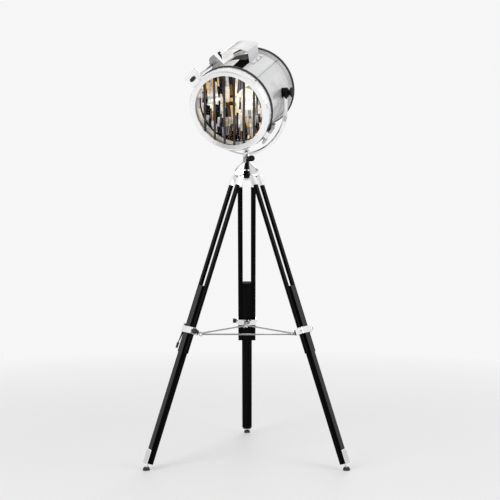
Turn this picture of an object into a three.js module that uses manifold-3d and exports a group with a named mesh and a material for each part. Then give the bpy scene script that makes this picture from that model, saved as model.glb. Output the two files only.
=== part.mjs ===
// A searchlight floor lamp: a chromed drum with a barred glass door hangs in a yoke
// on a black wooden tripod. Millimetres, +Z up, the lamp stands on Z = 0.
import * as THREE from 'three';
import { mergeVertices } from 'three/addons/utils/BufferGeometryUtils.js';
import Module from 'manifold-3d';

const wasm = await Module();
wasm.setup();
const { degToRad } = THREE.MathUtils;

// Fits and cuts
const clearance = 0.3;
const looseFit = 1.5;
const cutOverrun = 2;

// Faceting of round pieces
const drumSides = 48;
const knobSides = 24;
const pinSides = 16;
const smallSides = 12;
const cornerSteps = 2;
const curveSteps = 6;
const archSteps = 12;
const coverSteps = 4;
const mirrorSteps = 7;

// Turns
const quarterTurn = Math.PI / 2;
const halfTurn = Math.PI;
const fullTurn = 2 * Math.PI;
const sixthTurn = fullTurn / 6;

// Stance of the tripod
const hingeHeight = 1090;
const hingeRadius = 43;
const legSplay = degToRad(19.3);
const legs = [
  { name: 'left', azimuth: degToRad(210) },
  { name: 'right', azimuth: degToRad(330) },
  { name: 'back', azimuth: degToRad(90) },
];

// Wooden legs, measured down the leg from its bolt
const slatWidth = 19.5;
const slatDepth = 11;
const slatGap = 33;
const slatTop = 20;
const slatEnd = 706;
const slatEdge = 1.5;
const grooveWidth = 5.6;
const grooveDepth = 4.5;
const poleDepth = 24;
const poleTop = 445;
const poleFootHeight = 24;
const poleEdge = 1.5;

// Metal fittings at the top of a leg
const ferruleWall = 2;
const ferruleLength = 36;
const legBoltRadius = 4;
const legBoltHeadRadius = 6.5;
const legBoltHeadHeight = 5;
const domeShare = 0.6;

// Clamp of a leg: a band with a screw knob on one side and a rivet or a lever on the other
const clampSetback = 87;
const bandHeight = 24;
const bandWall = 3;
const bandCorner = 4;
const clampScrewX = 3;
const clampScrewRadius = 4;
const clampFlangeRadius = 13.5;
const clampFlangeThickness = 4;
const clampKnobRadius = 10;
const clampKnobLength = 15;
const knobRounding = 2;
const rivetRadius = 6;
const rivetHeight = 4;
const leverHingeHeight = 18;
const leverWidth = 8;
const leverThickness = 2.5;
const leverLength = 94;
const leverStandOff = 12;
const leverBossRadius = 5;
const leverPinRadius = 2;
const leverGripLength = 22;
const leverGripRadius = 4.5;
const forkWall = 2.5;

// Spreader: each band carries a boss with a hinge pin for its own rod and a peg for the next rod's ring
const eyeReach = 51;
const eyeOffset = 13.5;
const bossScrewRadius = 3.5;
const bossCollarRadius = 12;
const bossCollarLength = 5;
const bossKnurlRadius = 11;
const bossLength = 19;
const postRadius = 3.8;
const postDepth = 5;
const earThickness = 3.5;
const earWidth = 12;
const pegLength = 8;
const spreaderRodRadius = 3;
const ringRadius = 7.5;
const ringThickness = 4;
const eyePinRadius = 3;
const eyePinHeadRadius = 4.5;

// Foot: a chromed shoe on the pole's end, with a stud in a rubber pad
const studRadius = 4;
const studTipRadius = 3;
const studSocketDepth = 18;
const studHeight = 5;
const shoeWall = 2.5;
const shoeHeight = 50;
const padRadius = 13;
const padTopRadius = 10;
const padHeight = 11;
const padShoulder = 5;

// Crown: a hub with three curved arms between the slats
const neckLength = 20;
const neckRadius = 13;
const waistRise = 34;
const waistRadius = 14.5;
const hubLength = 14;
const hubRise = 10;
const hubRadius = 19;
const armStart = { radius: 7, below: 5 };
const armHollow = { radius: 15, below: 32 };
const armSwell = { radius: 40, below: 32 };
const armShoulder = { radius: 50, below: 56 };
const armSideRise = 9;
const armRoot = { radius: 24, rise: 12 };
const armThickness = 14;
const lugRadius = 11;
const lugWrap = degToRad(160);
const finialLength = 17;
const finialSpigotRadius = 5;
const finialSpigotLength = 10;

// Stem of the yoke and the knob that locks it
const stemRadius = 6;
const stemSocketDepth = 42;
const stemBossRadius = 15;
const stemNutRadius = 13;
const stemNutHeight = 14;
const swivelKnobDrop = 8;
const swivelKnobAzimuth = degToRad(300);
const swivelKnobRadius = 11.5;
const swivelKnobStart = 22;
const swivelKnobEnd = 45;
const swivelScrewRadius = 4;

// Yoke and tilt pivot
const yokeRise = 10;
const headYaw = degToRad(22);
const headPitch = degToRad(25.6);
const yokeGap = 7.5;
const yokeThickness = 5;
const yokeWidth = 34;
const yokeEyeRadius = 20;
const yokeDrop = 230;
const trunnionPinRadius = 5;
const trunnionShankRadius = 8;
const trunnionHeadRadius = 14;
const trunnionHeadThickness = 4;
const trunnionFlareRadius = 20;
const trunnionFaceRadius = 12;
const pinReach = 14;
const tiltKnobRadius = 20;
const tiltKnobWaist = 7.5;
const tiltKnobLength = 27;
const tiltLobeLength = 7;

// Drum, measured along its axis from the tilt pivot
const drumRadius = 150;
const drumWall = 2.5;
const drumFront = 157.3;
const drumRear = 103.3;
const flangeWidth = 5.5;
const flangeThickness = 3;
const gasketThickness = 8;
const frontGasketRise = 11.4;
const rearGasketRise = 10.3;
const ventSlotHalfWidth = 35;
const ventSlotHalfLength = 40;
const coverOverhang = 8;
const rearCoverDepth = 60;
const rearFlatRadius = 70;
const glandRadius = 11;
const glandHoleRadius = 5;
const glandHeight = 8;
const glandOffset = 42;

// Lamp inside the drum
const mirrorRimGap = 4.7;
const mirrorVertex = -48;
const mirrorNeckRadius = 24;
const mirrorWall = 1.5;
const mirrorSetback = 9.3;
const holderRadius = 21;
const holderFlangeRadius = 32;
const holderFlangeThickness = 3;
const holderRear = -95;
const holderFront = -38;
const socketDepth = 28;
const bulbCapRadius = 13.6;
const bulbRadius = 30;
const bulbCentre = 8;
const bulbNeck = { radius: 15.5, height: -27 };
const bulbShoulderAngle = degToRad(-50);

// Door
const bezelDepth = 38;
const bezelOverhang = 8;
const bezelSideLength = 26;
const bezelBrowStep = 5;
const bezelBrowDepth = 36;
const bezelCrestStep = 11;
const bezelFaceWidth = 24.3;
const openingDepth = 32.5;
const lipThickness = 5;
const glassSeatStep = 11.8;
const glassThickness = 4;
const grilleThickness = 6;
const grilleRingWidth = 9;
const barWidth = 7;
const barSpacing = 39;
const barCount = 6;
const barLean = degToRad(-10);

// Hinge of the door at the lower right of the drum
const hingeAzimuth = degToRad(-40.5);
const hingeStandOff = 12;
const knuckleRadius = 6;
const doorKnuckleHalf = 13;
const leafHalf = 37;
const hingePinRadius = 2.7;
const hingeBallRadius = 5;
const leafBaseLength = 26;
const leafBaseSetback = 5.3;
const leafThickness = 3;
const hingeWebLength = 10;
const hingeWebSink = 8;

// Closure at the upper left: a rod through the door's lug, turned by a crossbar
const closureAzimuth = degToRad(130);
const closureStandOff = 17;
const closureRodRadius = 4.5;
const closureRodRear = 14;
const crossbarSetback = 12.3;
const crossbarRadius = 4;
const crossbarInward = 16;
const crossbarOutward = 29;
const catchLugRadial = 48;
const catchLugWidth = 44;
const catchLugCorner = 6;
const catchLugOutset = 1;
const catchLugShift = 8;
const catchLugOverhang = 6;
const closureHeadLength = 24;
const closureHeadWidth = 14;
const closureHeadThickness = 6;
const keeperLength = 28;
const keeperRise = 13;
const keeperPeakRise = 23;
const keeperReach = 26;
const keeperHalf = 10;
const cradleHalf = 7;

// Vent hood on top of the drum
const hoodHalfWidth = 54;
const hoodRise = 33;
const hoodPitch = 15;
const hoodFront = 48;
const hoodRear = 60;
const hoodWall = 2;
const roofRear = 68;
const roofFront = 56;
const roofLip = 2;
const hoodFootReach = 72;

// Places and sizes that follow from those above
const legLength = hingeHeight / Math.cos(legSplay);
const poleEnd = legLength - poleFootHeight / Math.cos(legSplay);
const footRadius = hingeRadius + hingeHeight * Math.tan(legSplay);
const clampAt = slatEnd - clampSetback;
const slatOuter = slatGap / 2 + slatWidth;
const slatCentre = (slatGap + slatWidth) / 2;
const ferruleDepth = slatDepth + 2 * ferruleWall;
const ferruleHalfWidth = slatWidth / 2 + ferruleWall;
const ferruleOuter = slatOuter + ferruleWall;
const lugThickness = slatGap - 2 * (ferruleWall + clearance);
const bandInnerX = poleDepth / 2 + clearance;
const bandInnerY = slatOuter + clearance;
const bandOuterX = bandInnerX + bandWall;
const bandOuterY = bandInnerY + bandWall;
const eyeRadius = hingeRadius + clampAt * Math.sin(legSplay) - eyeReach * Math.cos(legSplay);
const eyeHeight = hingeHeight - clampAt * Math.cos(legSplay) - eyeReach * Math.sin(legSplay);
const spreaderLength = 2 * eyeRadius * Math.sin(sixthTurn);
const leverHingeY = -bandOuterY - leverBossRadius;
const yokeInnerRadius = drumRadius + yokeGap;
const yokeOuterRadius = yokeInnerRadius + yokeThickness;
const yokeBend = yokeOuterRadius - yokeDrop;
const hubBottom = hingeHeight + hubRise;
const hubTop = hubBottom + hubLength;
const waistHeight = hubTop + waistRise;
const neckTop = waistHeight + neckLength;
const finialTip = hubBottom - finialLength;
const swivelKnobHeight = neckTop - swivelKnobDrop;
const yokeBottom = neckTop + yokeRise;
const pivotHeight = yokeBottom + yokeDrop;
const drumInner = drumRadius - drumWall;
const frontGasketRadius = drumRadius + frontGasketRise;
const rearGasketRadius = drumRadius + rearGasketRise;
const rearCoverRadius = drumRadius + coverOverhang;
const mirrorRim = drumFront - mirrorSetback;
const focalLength = (drumInner - mirrorRimGap) ** 2 / (4 * (mirrorRim - mirrorVertex));
const bezelRadius = drumRadius + bezelOverhang;
const bezelBrowRadius = bezelRadius - bezelBrowStep;
const bezelCrestRadius = bezelRadius - bezelCrestStep;
const openingRadius = bezelRadius - bezelFaceWidth;
const glassSeatRadius = openingRadius + glassSeatStep;
const hingeAxisRadius = bezelRadius + hingeStandOff;
const hingeWebInner = bezelRadius - hingeWebSink;
const leafBaseFront = drumFront - leafBaseSetback;
const closureRadius = bezelRadius + closureStandOff;
const crossbarAt = drumFront - crossbarSetback;
const crossbarInner = closureRadius - crossbarInward;
const crossbarOuter = closureRadius + crossbarOutward;
const catchLugCentre = closureRadius + catchLugOutset;
const keeperOuter = closureRadius + keeperRise;
const keeperPeak = closureRadius + keeperPeakRise;
const hoodEave = drumRadius + hoodRise;
const hoodApex = hoodEave + hoodPitch;
const flangeRadius = drumRadius + flangeWidth;
const gasketGap = gasketThickness + 2 * clearance;
const bezelRear = drumFront + gasketGap;
const bezelFront = bezelRear + bezelDepth;
const lipRear = bezelRear + openingDepth - lipThickness;
const hingeAxisAt = bezelRear - clearance;
const catchLugRear = bezelRear + looseFit;
const catchLugFront = bezelFront + catchLugOverhang;

// Finishes
const chrome = finish(0xd8dadc, 0.12, 1);
const brushedSteel = finish(0xb4b8bb, 0.3, 1);
const blackWood = finish(0x100f0f, 0.35, 0);
const blackKnob = finish(0x0b0b0b, 0.3, 0);
const rubber = finish(0x0d0d0d, 0.75, 0);
const clearGlass = finish(0xdfe6e8, 0.03, 0);
const bulbGlass = finish(0xffd9a0, 0.2, 0);
const darkMetal = finish(0x25211d, 0.3, 0.8);
const mirror = finish(0xe0d6c2, 0.08, 1);
const porcelain = finish(0xe6e2da, 0.4, 0);

function finish(color, roughness, metalness) {
  return new THREE.MeshStandardMaterial({ color, roughness, metalness });
}

// Welded triangles of a closed geometry, without slivers, facing out
function weld(geometry) {
  const bare = geometry.index ? geometry.toNonIndexed() : geometry.clone();
  bare.deleteAttribute('uv');
  bare.deleteAttribute('normal');
  const merged = mergeVertices(bare);
  const source = merged.index.array;
  const places = merged.attributes.position;
  const corners = [];
  for (let i = 0; i < source.length; i += 3) {
    const [a, b, c] = [source[i], source[i + 1], source[i + 2]];
    if (a !== b && b !== c && c !== a) {
      corners.push(a, b, c);
    }
  }
  if (signedVolume(places, corners) < 0) {
    corners.reverse();
  }
  const welded = new THREE.BufferGeometry();
  welded.setAttribute('position', places);
  welded.setIndex(corners);
  return welded;
}

function signedVolume(places, corners) {
  const [a, b, c] = [new THREE.Vector3(), new THREE.Vector3(), new THREE.Vector3()];
  let volume = 0;
  for (let i = 0; i < corners.length; i += 3) {
    a.fromBufferAttribute(places, corners[i]);
    b.fromBufferAttribute(places, corners[i + 1]);
    c.fromBufferAttribute(places, corners[i + 2]);
    volume += a.dot(b.cross(c));
  }
  return volume;
}

function toSolid(geometry) {
  const welded = weld(geometry);
  const vertProperties = new Float32Array(welded.attributes.position.array);
  const triVerts = new Uint32Array(welded.index.array);
  return new wasm.Manifold(new wasm.Mesh({ numProp: 3, vertProperties, triVerts }));
}

function toGeometry(solid) {
  const mesh = solid.getMesh();
  const geometry = new THREE.BufferGeometry();
  geometry.setAttribute('position', new THREE.BufferAttribute(mesh.vertProperties, 3));
  geometry.setIndex(new THREE.BufferAttribute(mesh.triVerts, 1));
  return geometry;
}

function join(first, ...others) {
  return toGeometry(others.reduce((sum, other) => sum.add(toSolid(other)), toSolid(first)));
}

function cut(body, ...tools) {
  return toGeometry(tools.reduce((rest, tool) => rest.subtract(toSolid(tool)), toSolid(body)));
}

// A body of revolution about Z from [radius, height] pairs
function revolve(profile, sides) {
  const points = profile.map(([radius, height]) => new THREE.Vector2(radius, height));
  return weld(new THREE.LatheGeometry(points, sides)).rotateX(quarterTurn);
}

// A ring about Z, whose profile closes on itself
function revolveRing(profile, sides) {
  return revolve([...profile, profile[0]], sides);
}

function rod(radius, from, to, sides) {
  return revolve([[0, from], [radius, from], [radius, to], [0, to]], sides);
}

// Turns a body drawn along Z to point along X or along Y
function alongX(geometry) {
  return geometry.rotateY(quarterTurn);
}

function alongY(geometry) {
  return geometry.rotateX(-quarterTurn);
}

function outline(points) {
  return new THREE.Shape(points.map(([x, y]) => new THREE.Vector2(x, y)));
}

function extrude(shape, from, to, curveSegments = cornerSteps) {
  const settings = { depth: to - from, bevelEnabled: false, curveSegments };
  return new THREE.ExtrudeGeometry(shape, settings).translate(0, 0, from);
}

// Extrusion along Y; the outline's x and y become X and Z
function extrudeAlongY(shape, from, to, curveSegments) {
  return extrude(shape, -to, -from, curveSegments).rotateX(quarterTurn);
}

// Extrusion along X; the outline's x and y become Y and Z
function extrudeAlongX(shape, from, to, curveSegments) {
  return extrude(shape, from, to, curveSegments).rotateX(quarterTurn).rotateZ(quarterTurn);
}

function block(x0, x1, y0, y1, z0, z1) {
  const box = new THREE.BoxGeometry(x1 - x0, y1 - y0, z1 - z0);
  return box.translate((x0 + x1) / 2, (y0 + y1) / 2, (z0 + z1) / 2);
}

function roundedRectangle(width, height, radius) {
  const [x, y] = [width / 2 - radius, height / 2 - radius];
  const shape = new THREE.Shape();
  shape.absarc(x, y, radius, 0, quarterTurn);
  shape.absarc(-x, y, radius, quarterTurn, halfTurn);
  shape.absarc(-x, -y, radius, halfTurn, halfTurn + quarterTurn);
  shape.absarc(x, -y, radius, halfTurn + quarterTurn, fullTurn);
  return shape;
}

function place(parent, name, geometry, material) {
  const mesh = new THREE.Mesh(geometry, material);
  mesh.name = name;
  parent.add(mesh);
  return mesh;
}

function frameIn(parent, x, y, z) {
  const group = new THREE.Group();
  group.position.set(x, y, z);
  parent.add(group);
  return group;
}

// Leg pieces: +X points out of the tripod, +Y along the tangent, +Z up the leg, from its bolt

// A wooden slat, with a groove on its inner face that guides the pole
function slat(side) {
  const inner = slatGap / 2;
  const points = [
    [slatDepth / 2, inner],
    [slatDepth / 2, slatOuter - slatEdge],
    [slatDepth / 2 - slatEdge, slatOuter],
    [slatEdge - slatDepth / 2, slatOuter],
    [-slatDepth / 2, slatOuter - slatEdge],
    [-slatDepth / 2, inner],
    [-grooveWidth / 2, inner],
    [-grooveWidth / 2, inner + grooveDepth],
    [grooveWidth / 2, inner + grooveDepth],
    [grooveWidth / 2, inner],
  ];
  return extrude(outline(points.map(([x, y]) => [x, side * y])), -slatEnd, -slatTop);
}

// A chromed cap that holds a slat's top and turns on the leg bolt
function ferrule(side) {
  const centre = side * slatCentre;
  const shape = new THREE.Shape();
  shape.moveTo(-ferruleDepth / 2, -ferruleLength);
  shape.lineTo(ferruleDepth / 2, -ferruleLength);
  shape.absarc(0, 0, ferruleDepth / 2, 0, halfTurn);
  const cap = extrudeAlongY(shape, centre - ferruleHalfWidth, centre + ferruleHalfWidth, curveSteps);
  const halfX = slatDepth / 2 + clearance;
  const halfY = slatWidth / 2 + clearance;
  const bottom = -ferruleLength - cutOverrun;
  const pocket = block(-halfX, halfX, centre - halfY, centre + halfY, bottom, clearance - slatTop);
  const reach = ferruleHalfWidth + cutOverrun;
  const hole = alongY(rod(legBoltRadius + clearance, centre - reach, centre + reach, smallSides));
  return cut(cap, pocket, hole);
}

// The leg's pivot bolt, with a domed head at each end
function legBolt() {
  const face = ferruleOuter + clearance;
  const half = [
    [legBoltRadius, face],
    [legBoltHeadRadius, face],
    [legBoltHeadRadius, face + legBoltHeadHeight / 2],
    [legBoltHeadRadius * domeShare, face + legBoltHeadHeight],
    [0, face + legBoltHeadHeight],
  ];
  const mirrored = half.map(([radius, y]) => [radius, -y]).reverse();
  return alongY(revolve([...mirrored, ...half], smallSides));
}

// The sliding pole: a square timber with a tongue on each side and a socket for the foot's stud
function pole() {
  const halfBody = slatGap / 2 - clearance;
  const halfTongue = halfBody + grooveDepth;
  const tongueDepth = grooveWidth / 2 - clearance;
  const quarter = [
    [tongueDepth, halfTongue],
    [tongueDepth, halfBody],
    [poleDepth / 2 - poleEdge, halfBody],
    [poleDepth / 2, halfBody - poleEdge],
  ];
  const half = [...quarter, ...quarter.map(([x, y]) => [x, -y]).reverse()];
  const points = [...half, ...half.map(([x, y]) => [-x, -y])];
  const timber = extrude(outline(points), -poleEnd, -poleTop);
  const socketEnd = studSocketDepth - poleEnd;
  return cut(timber, rod(studRadius + clearance, -poleEnd - cutOverrun, socketEnd, smallSides));
}

// The clamp's band round both slats and the pole
function clampBand(hasLever) {
  const shape = roundedRectangle(2 * bandOuterX, 2 * bandOuterY, bandCorner);
  shape.holes.push(roundedRectangle(2 * bandInnerX, 2 * bandInnerY, bandCorner - bandWall));
  const ring = extrude(shape, -bandHeight / 2, bandHeight / 2);
  const wallEnd = bandOuterY + cutOverrun;
  const screwHole = alongY(rod(clampScrewRadius + clearance, 0, wallEnd, smallSides));
  screwHole.translate(clampScrewX, 0, 0);
  const bossHole = alongX(rod(bossScrewRadius + clearance, -bandOuterX - cutOverrun, 0, smallSides));
  const drilled = cut(ring, screwHole, bossHole);
  const fitted = hasLever ? join(drilled, ...leverFork()) : join(drilled, bandRivet());
  return fitted.translate(0, 0, -clampAt);
}

// A domed rivet on the band's far side
function bandRivet() {
  const face = bandOuterY - bandWall / 2;
  const end = bandOuterY + rivetHeight;
  const profile = [
    [0, face],
    [rivetRadius, face],
    [rivetRadius, bandOuterY + rivetHeight / 2],
    [rivetRadius * domeShare, end],
    [0, end],
  ];
  return alongY(revolve(profile, smallSides)).rotateZ(halfTurn).translate(clampScrewX, 0, 0);
}

// Two cheeks on the band and the pin between them that carries the lever
function leverFork() {
  const cheek = leverWidth / 2 + clearance;
  const outer = cheek + forkWall;
  const back = bandWall / 2 - bandOuterY;
  const front = leverHingeY - leverBossRadius;
  const top = leverHingeHeight + leverBossRadius;
  const pin = alongX(rod(leverPinRadius, -outer, outer, smallSides));
  pin.translate(clampScrewX, leverHingeY, leverHingeHeight);
  const cheeks = [[-outer, -cheek], [cheek, outer]].map(([from, to]) => {
    return block(clampScrewX + from, clampScrewX + to, front, back, 0, top);
  });
  return [...cheeks, pin];
}

// The flip lever: a strip that curves away from the leg, with a black grip
function clampLever() {
  const half = leverThickness / 2;
  const end = leverGripLength / 2 - leverLength;
  const shape = new THREE.Shape();
  shape.moveTo(half, 0);
  shape.quadraticCurveTo(half, end / 2, half - leverStandOff, end);
  shape.lineTo(-half - leverStandOff, end);
  shape.quadraticCurveTo(-half, end / 2, -half, 0);
  const strip = extrudeAlongX(shape, -leverWidth / 2, leverWidth / 2, curveSteps);
  const boss = alongX(rod(leverBossRadius - clearance, -leverWidth / 2, leverWidth / 2, smallSides));
  const grip = rod(leverGripRadius, -leverGripLength, 0, smallSides);
  grip.translate(0, -leverStandOff, leverGripLength - leverLength);
  const bore = alongX(rod(leverPinRadius + clearance, -leverWidth, leverWidth, smallSides));
  const lever = cut(join(strip, boss, grip), bore);
  return lever.translate(clampScrewX, leverHingeY, leverHingeHeight - clampAt);
}

// The clamp's knob: a chromed flange, a black grip and a screw through the band
function clampKnob() {
  const seat = bandOuterY + clearance;
  const flangeEnd = seat + clampFlangeThickness;
  const end = flangeEnd + clampKnobLength;
  const profile = [
    [0, bandInnerY + clearance],
    [clampScrewRadius, bandInnerY + clearance],
    [clampScrewRadius, seat],
    [clampFlangeRadius, seat],
    [clampFlangeRadius, flangeEnd],
    [clampKnobRadius - knobRounding, flangeEnd],
    [clampKnobRadius, end - 2 * knobRounding],
    [clampKnobRadius - knobRounding, end],
    [0, end],
  ];
  return alongY(revolve(profile, knobSides)).translate(clampScrewX, 0, -clampAt);
}

// Spreader pieces are drawn level from the eye point: +X out, +Y along the tangent, +Z up

// The boss that is screwed to the band, with the hinge pin and the peg at its nose
function spreaderBracket() {
  const bandFace = eyeReach - bandOuterX - clearance;
  const screwEnd = eyeReach - bandInnerX - clearance;
  const profile = [
    [0, 0],
    [bossScrewRadius, 0],
    [bossScrewRadius, bandFace - bossLength],
    [bossKnurlRadius, bandFace - bossLength],
    [bossKnurlRadius, bandFace - bossCollarLength],
    [bossCollarRadius, bandFace - bossCollarLength],
    [bossCollarRadius, bandFace],
    [bossScrewRadius, bandFace],
    [bossScrewRadius, screwEnd],
    [0, screwEnd],
  ];
  const boss = alongX(revolve(profile, pinSides)).rotateY(-legSplay);
  const earBottom = ringThickness / 2 + clearance + spreaderRodRadius / 2;
  const earTop = earBottom + earThickness;
  const post = rod(postRadius, -postDepth, earTop, smallSides);
  const earShape = roundedRectangle(eyeOffset + earWidth, earWidth, earWidth / 2 - clearance);
  const ear = extrude(earShape, earBottom, earTop);
  const peg = rod(eyePinRadius, earTop - earThickness / 2 - pegLength, earTop, smallSides);
  ear.translate(eyeOffset / 2, 0, 0).rotateZ(-sixthTurn);
  peg.translate(eyeOffset, 0, 0).rotateZ(-sixthTurn);
  return join(boss, post, hingePin().rotateZ(sixthTurn), ear, peg);
}

// The pin on which a bracket's own rod swings, with a flat head
function hingePin() {
  const ringEnd = eyeOffset + ringThickness / 2 + clearance;
  const profile = [
    [0, 0],
    [eyePinRadius, 0],
    [eyePinRadius, ringEnd],
    [eyePinHeadRadius, ringEnd],
    [eyePinHeadRadius, ringEnd + ringThickness / 2],
    [0, ringEnd + ringThickness / 2],
  ];
  return alongX(revolve(profile, smallSides));
}

// A spreader rod along +X: an upright ring at its hinge, a flat ring at its far end
function spreaderRod() {
  const near = alongY(rod(ringRadius, -ringThickness / 2, ringThickness / 2, pinSides));
  const far = rod(ringRadius, -ringThickness / 2, ringThickness / 2, pinSides);
  far.translate(spreaderLength, 0, 0);
  const embed = ringRadius - looseFit;
  const shaft = alongX(rod(spreaderRodRadius, embed, spreaderLength - embed, smallSides));
  const nearHole = alongY(rod(eyePinRadius + clearance, -ringThickness, ringThickness, smallSides));
  const farHole = rod(eyePinRadius + looseFit, -ringThickness, ringThickness, smallSides);
  farHole.translate(spreaderLength, 0, 0);
  return cut(join(near, far, shaft), nearHole, farHole);
}

// The shoe: a plate on the pole's outer face, a sole under its end and a stud
function footShoe() {
  const sole = -poleEnd - clearance;
  const face = poleDepth / 2 + clearance;
  const halfWidth = slatGap / 2 - clearance;
  const shape = outline([
    [-poleDepth / 2, sole],
    [face, sole],
    [face, shoeHeight - poleEnd],
    [face + shoeWall, shoeHeight - poleEnd - shoeWall],
    [face + shoeWall, sole - shoeWall],
    [-poleDepth / 2, sole - shoeWall],
  ]);
  const shell = extrudeAlongY(shape, -halfWidth, halfWidth);
  const tip = studHeight / Math.cos(legSplay) - legLength;
  const stud = revolve([
    [0, tip],
    [studTipRadius, tip],
    [studTipRadius, padHeight + cutOverrun - legLength],
    [studRadius, sole - shoeWall],
    [studRadius, studSocketDepth - poleEnd - looseFit],
    [0, studSocketDepth - poleEnd - looseFit],
  ], smallSides);
  return join(shell, stud);
}

// The rubber pad stands level on the floor, with a slanted hole for the stud
function footPad() {
  const profile = [[0, 0], [padRadius, 0], [padRadius, padShoulder], [padTopRadius, padHeight], [0, padHeight]];
  const holeStart = (studHeight - clearance) / Math.cos(legSplay);
  const hole = rod(studTipRadius + clearance, holeStart, 2 * padHeight, smallSides);
  return cut(revolve(profile, knobSides), hole.rotateY(-legSplay));
}

// Crown, drawn in the lamp's own frame

// The hub with its three arms, bored for the stem, the finial and the leg bolts
function crown() {
  const hub = revolve([
    [0, hubBottom],
    [hubRadius, hubBottom],
    [hubRadius, hubTop],
    [waistRadius, waistHeight],
    [neckRadius, neckTop],
    [0, neckTop],
  ], knobSides);
  const arms = legs.map(({ azimuth }) => crownArm().rotateZ(azimuth));
  const stemHole = rod(stemRadius + clearance, neckTop - stemSocketDepth, neckTop + cutOverrun, pinSides);
  const spigotEnd = hubBottom + finialSpigotLength + clearance;
  const spigotHole = rod(finialSpigotRadius + clearance, hubBottom - cutOverrun, spigotEnd, smallSides);
  const screwHole = alongX(rod(swivelScrewRadius + clearance, 0, swivelKnobStart, smallSides));
  screwHole.rotateZ(swivelKnobAzimuth).translate(0, 0, swivelKnobHeight);
  const boltHoles = legs.map(({ azimuth }) => {
    const hole = alongY(rod(legBoltRadius + clearance, -lugThickness, lugThickness, smallSides));
    return hole.translate(hingeRadius, 0, hingeHeight).rotateZ(azimuth);
  });
  return cut(join(hub, ...arms), stemHole, spigotHole, screwHole, ...boltHoles);
}

// One arm: its back sweeps from the neck to a shoulder, and a thick lug holds the leg bolt
function crownArm() {
  const shape = new THREE.Shape();
  shape.moveTo(0, neckTop - armStart.below);
  shape.lineTo(armStart.radius, neckTop - armStart.below);
  shape.bezierCurveTo(
    armHollow.radius, neckTop - armHollow.below,
    armSwell.radius, neckTop - armSwell.below,
    armShoulder.radius, neckTop - armShoulder.below,
  );
  shape.lineTo(hingeRadius + lugRadius, hingeHeight + armSideRise);
  shape.absarc(hingeRadius, hingeHeight, lugRadius, 0, -lugWrap, true);
  shape.lineTo(armRoot.radius, hingeHeight + armRoot.rise);
  shape.lineTo(0, hingeHeight + armRoot.rise);
  const blade = extrudeAlongY(shape, -armThickness / 2, armThickness / 2, curveSteps);
  const lug = alongY(rod(lugRadius, -lugThickness / 2, lugThickness / 2, knobSides));
  return join(blade, lug.translate(hingeRadius, 0, hingeHeight));
}

// The rounded finial under the hub
function crownFinial() {
  const top = hubBottom - clearance;
  const depth = top - finialTip;
  const profile = [[0, finialTip]];
  for (let step = 1; step <= curveSteps; step += 1) {
    const angle = (step / curveSteps) * quarterTurn;
    profile.push([hubRadius * Math.sin(angle), top - depth * Math.cos(angle)]);
  }
  profile.push([finialSpigotRadius, top], [finialSpigotRadius, top + finialSpigotLength]);
  profile.push([0, top + finialSpigotLength]);
  return revolve(profile, knobSides);
}

// The knob that locks the stem, pointing along +X
function swivelKnob() {
  const profile = [
    [0, stemRadius + looseFit],
    [swivelScrewRadius, stemRadius + looseFit],
    [swivelScrewRadius, swivelKnobStart],
    [swivelKnobRadius - knobRounding, swivelKnobStart],
    [swivelKnobRadius, swivelKnobStart + knobRounding],
    [swivelKnobRadius, swivelKnobEnd - knobRounding],
    [swivelKnobRadius - knobRounding, swivelKnobEnd],
    [0, swivelKnobEnd],
  ];
  const knob = alongX(revolve(profile, knobSides));
  return knob.rotateZ(swivelKnobAzimuth).translate(0, 0, swivelKnobHeight);
}

// Yoke pieces turn with the head: +X along the tilt axis, +Z up

// The strip yoke, with a round eye at each end and a hole for the stem
function yoke() {
  const shape = new THREE.Shape();
  shape.moveTo(yokeOuterRadius, 0);
  shape.lineTo(yokeOuterRadius, yokeBend);
  shape.absarc(0, yokeBend, yokeOuterRadius, 0, -halfTurn, true);
  shape.lineTo(-yokeOuterRadius, 0);
  shape.lineTo(-yokeInnerRadius, 0);
  shape.absarc(0, yokeBend, yokeInnerRadius, -halfTurn, 0, false);
  shape.lineTo(yokeInnerRadius, 0);
  const strip = extrudeAlongY(shape, -yokeWidth / 2, yokeWidth / 2, archSteps);
  const eyes = [-yokeOuterRadius, yokeInnerRadius].map((start) => {
    return alongX(rod(yokeEyeRadius, start, start + yokeThickness, knobSides));
  });
  const reach = yokeOuterRadius + cutOverrun;
  const pinHole = alongX(rod(trunnionPinRadius + clearance, -reach, reach, pinSides));
  const seat = yokeThickness - yokeDrop;
  const stemHole = rod(stemRadius + clearance, -yokeDrop - cutOverrun, seat + cutOverrun, pinSides);
  return cut(join(strip, ...eyes), pinHole, stemHole).translate(0, 0, pivotHeight);
}

// The stem: a pin in the crown, a boss under the yoke and a domed nut above it
function swivelStem() {
  const pinEnd = neckTop - stemSocketDepth + clearance;
  const nutStart = yokeBottom + yokeThickness + looseFit;
  const nutEnd = nutStart + stemNutHeight;
  const profile = [
    [0, pinEnd],
    [stemRadius, pinEnd],
    [stemRadius, neckTop + clearance],
    [stemBossRadius, neckTop + clearance],
    [stemBossRadius, yokeBottom - clearance],
    [stemRadius, yokeBottom - clearance],
    [stemRadius, nutStart],
    [stemNutRadius, nutStart],
    [stemNutRadius, nutStart + stemNutHeight / 2],
    [stemNutRadius * domeShare, nutEnd],
    [0, nutEnd],
  ];
  return revolve(profile, knobSides);
}

// Head pieces: +X along the tilt axis, +Y up across the drum, +Z along the beam

// The space inside the drum's skin and its wall, for seating pieces on its outside
function drumCore() {
  return rod(drumRadius + clearance, -drumRear, drumFront, drumSides);
}

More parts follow.
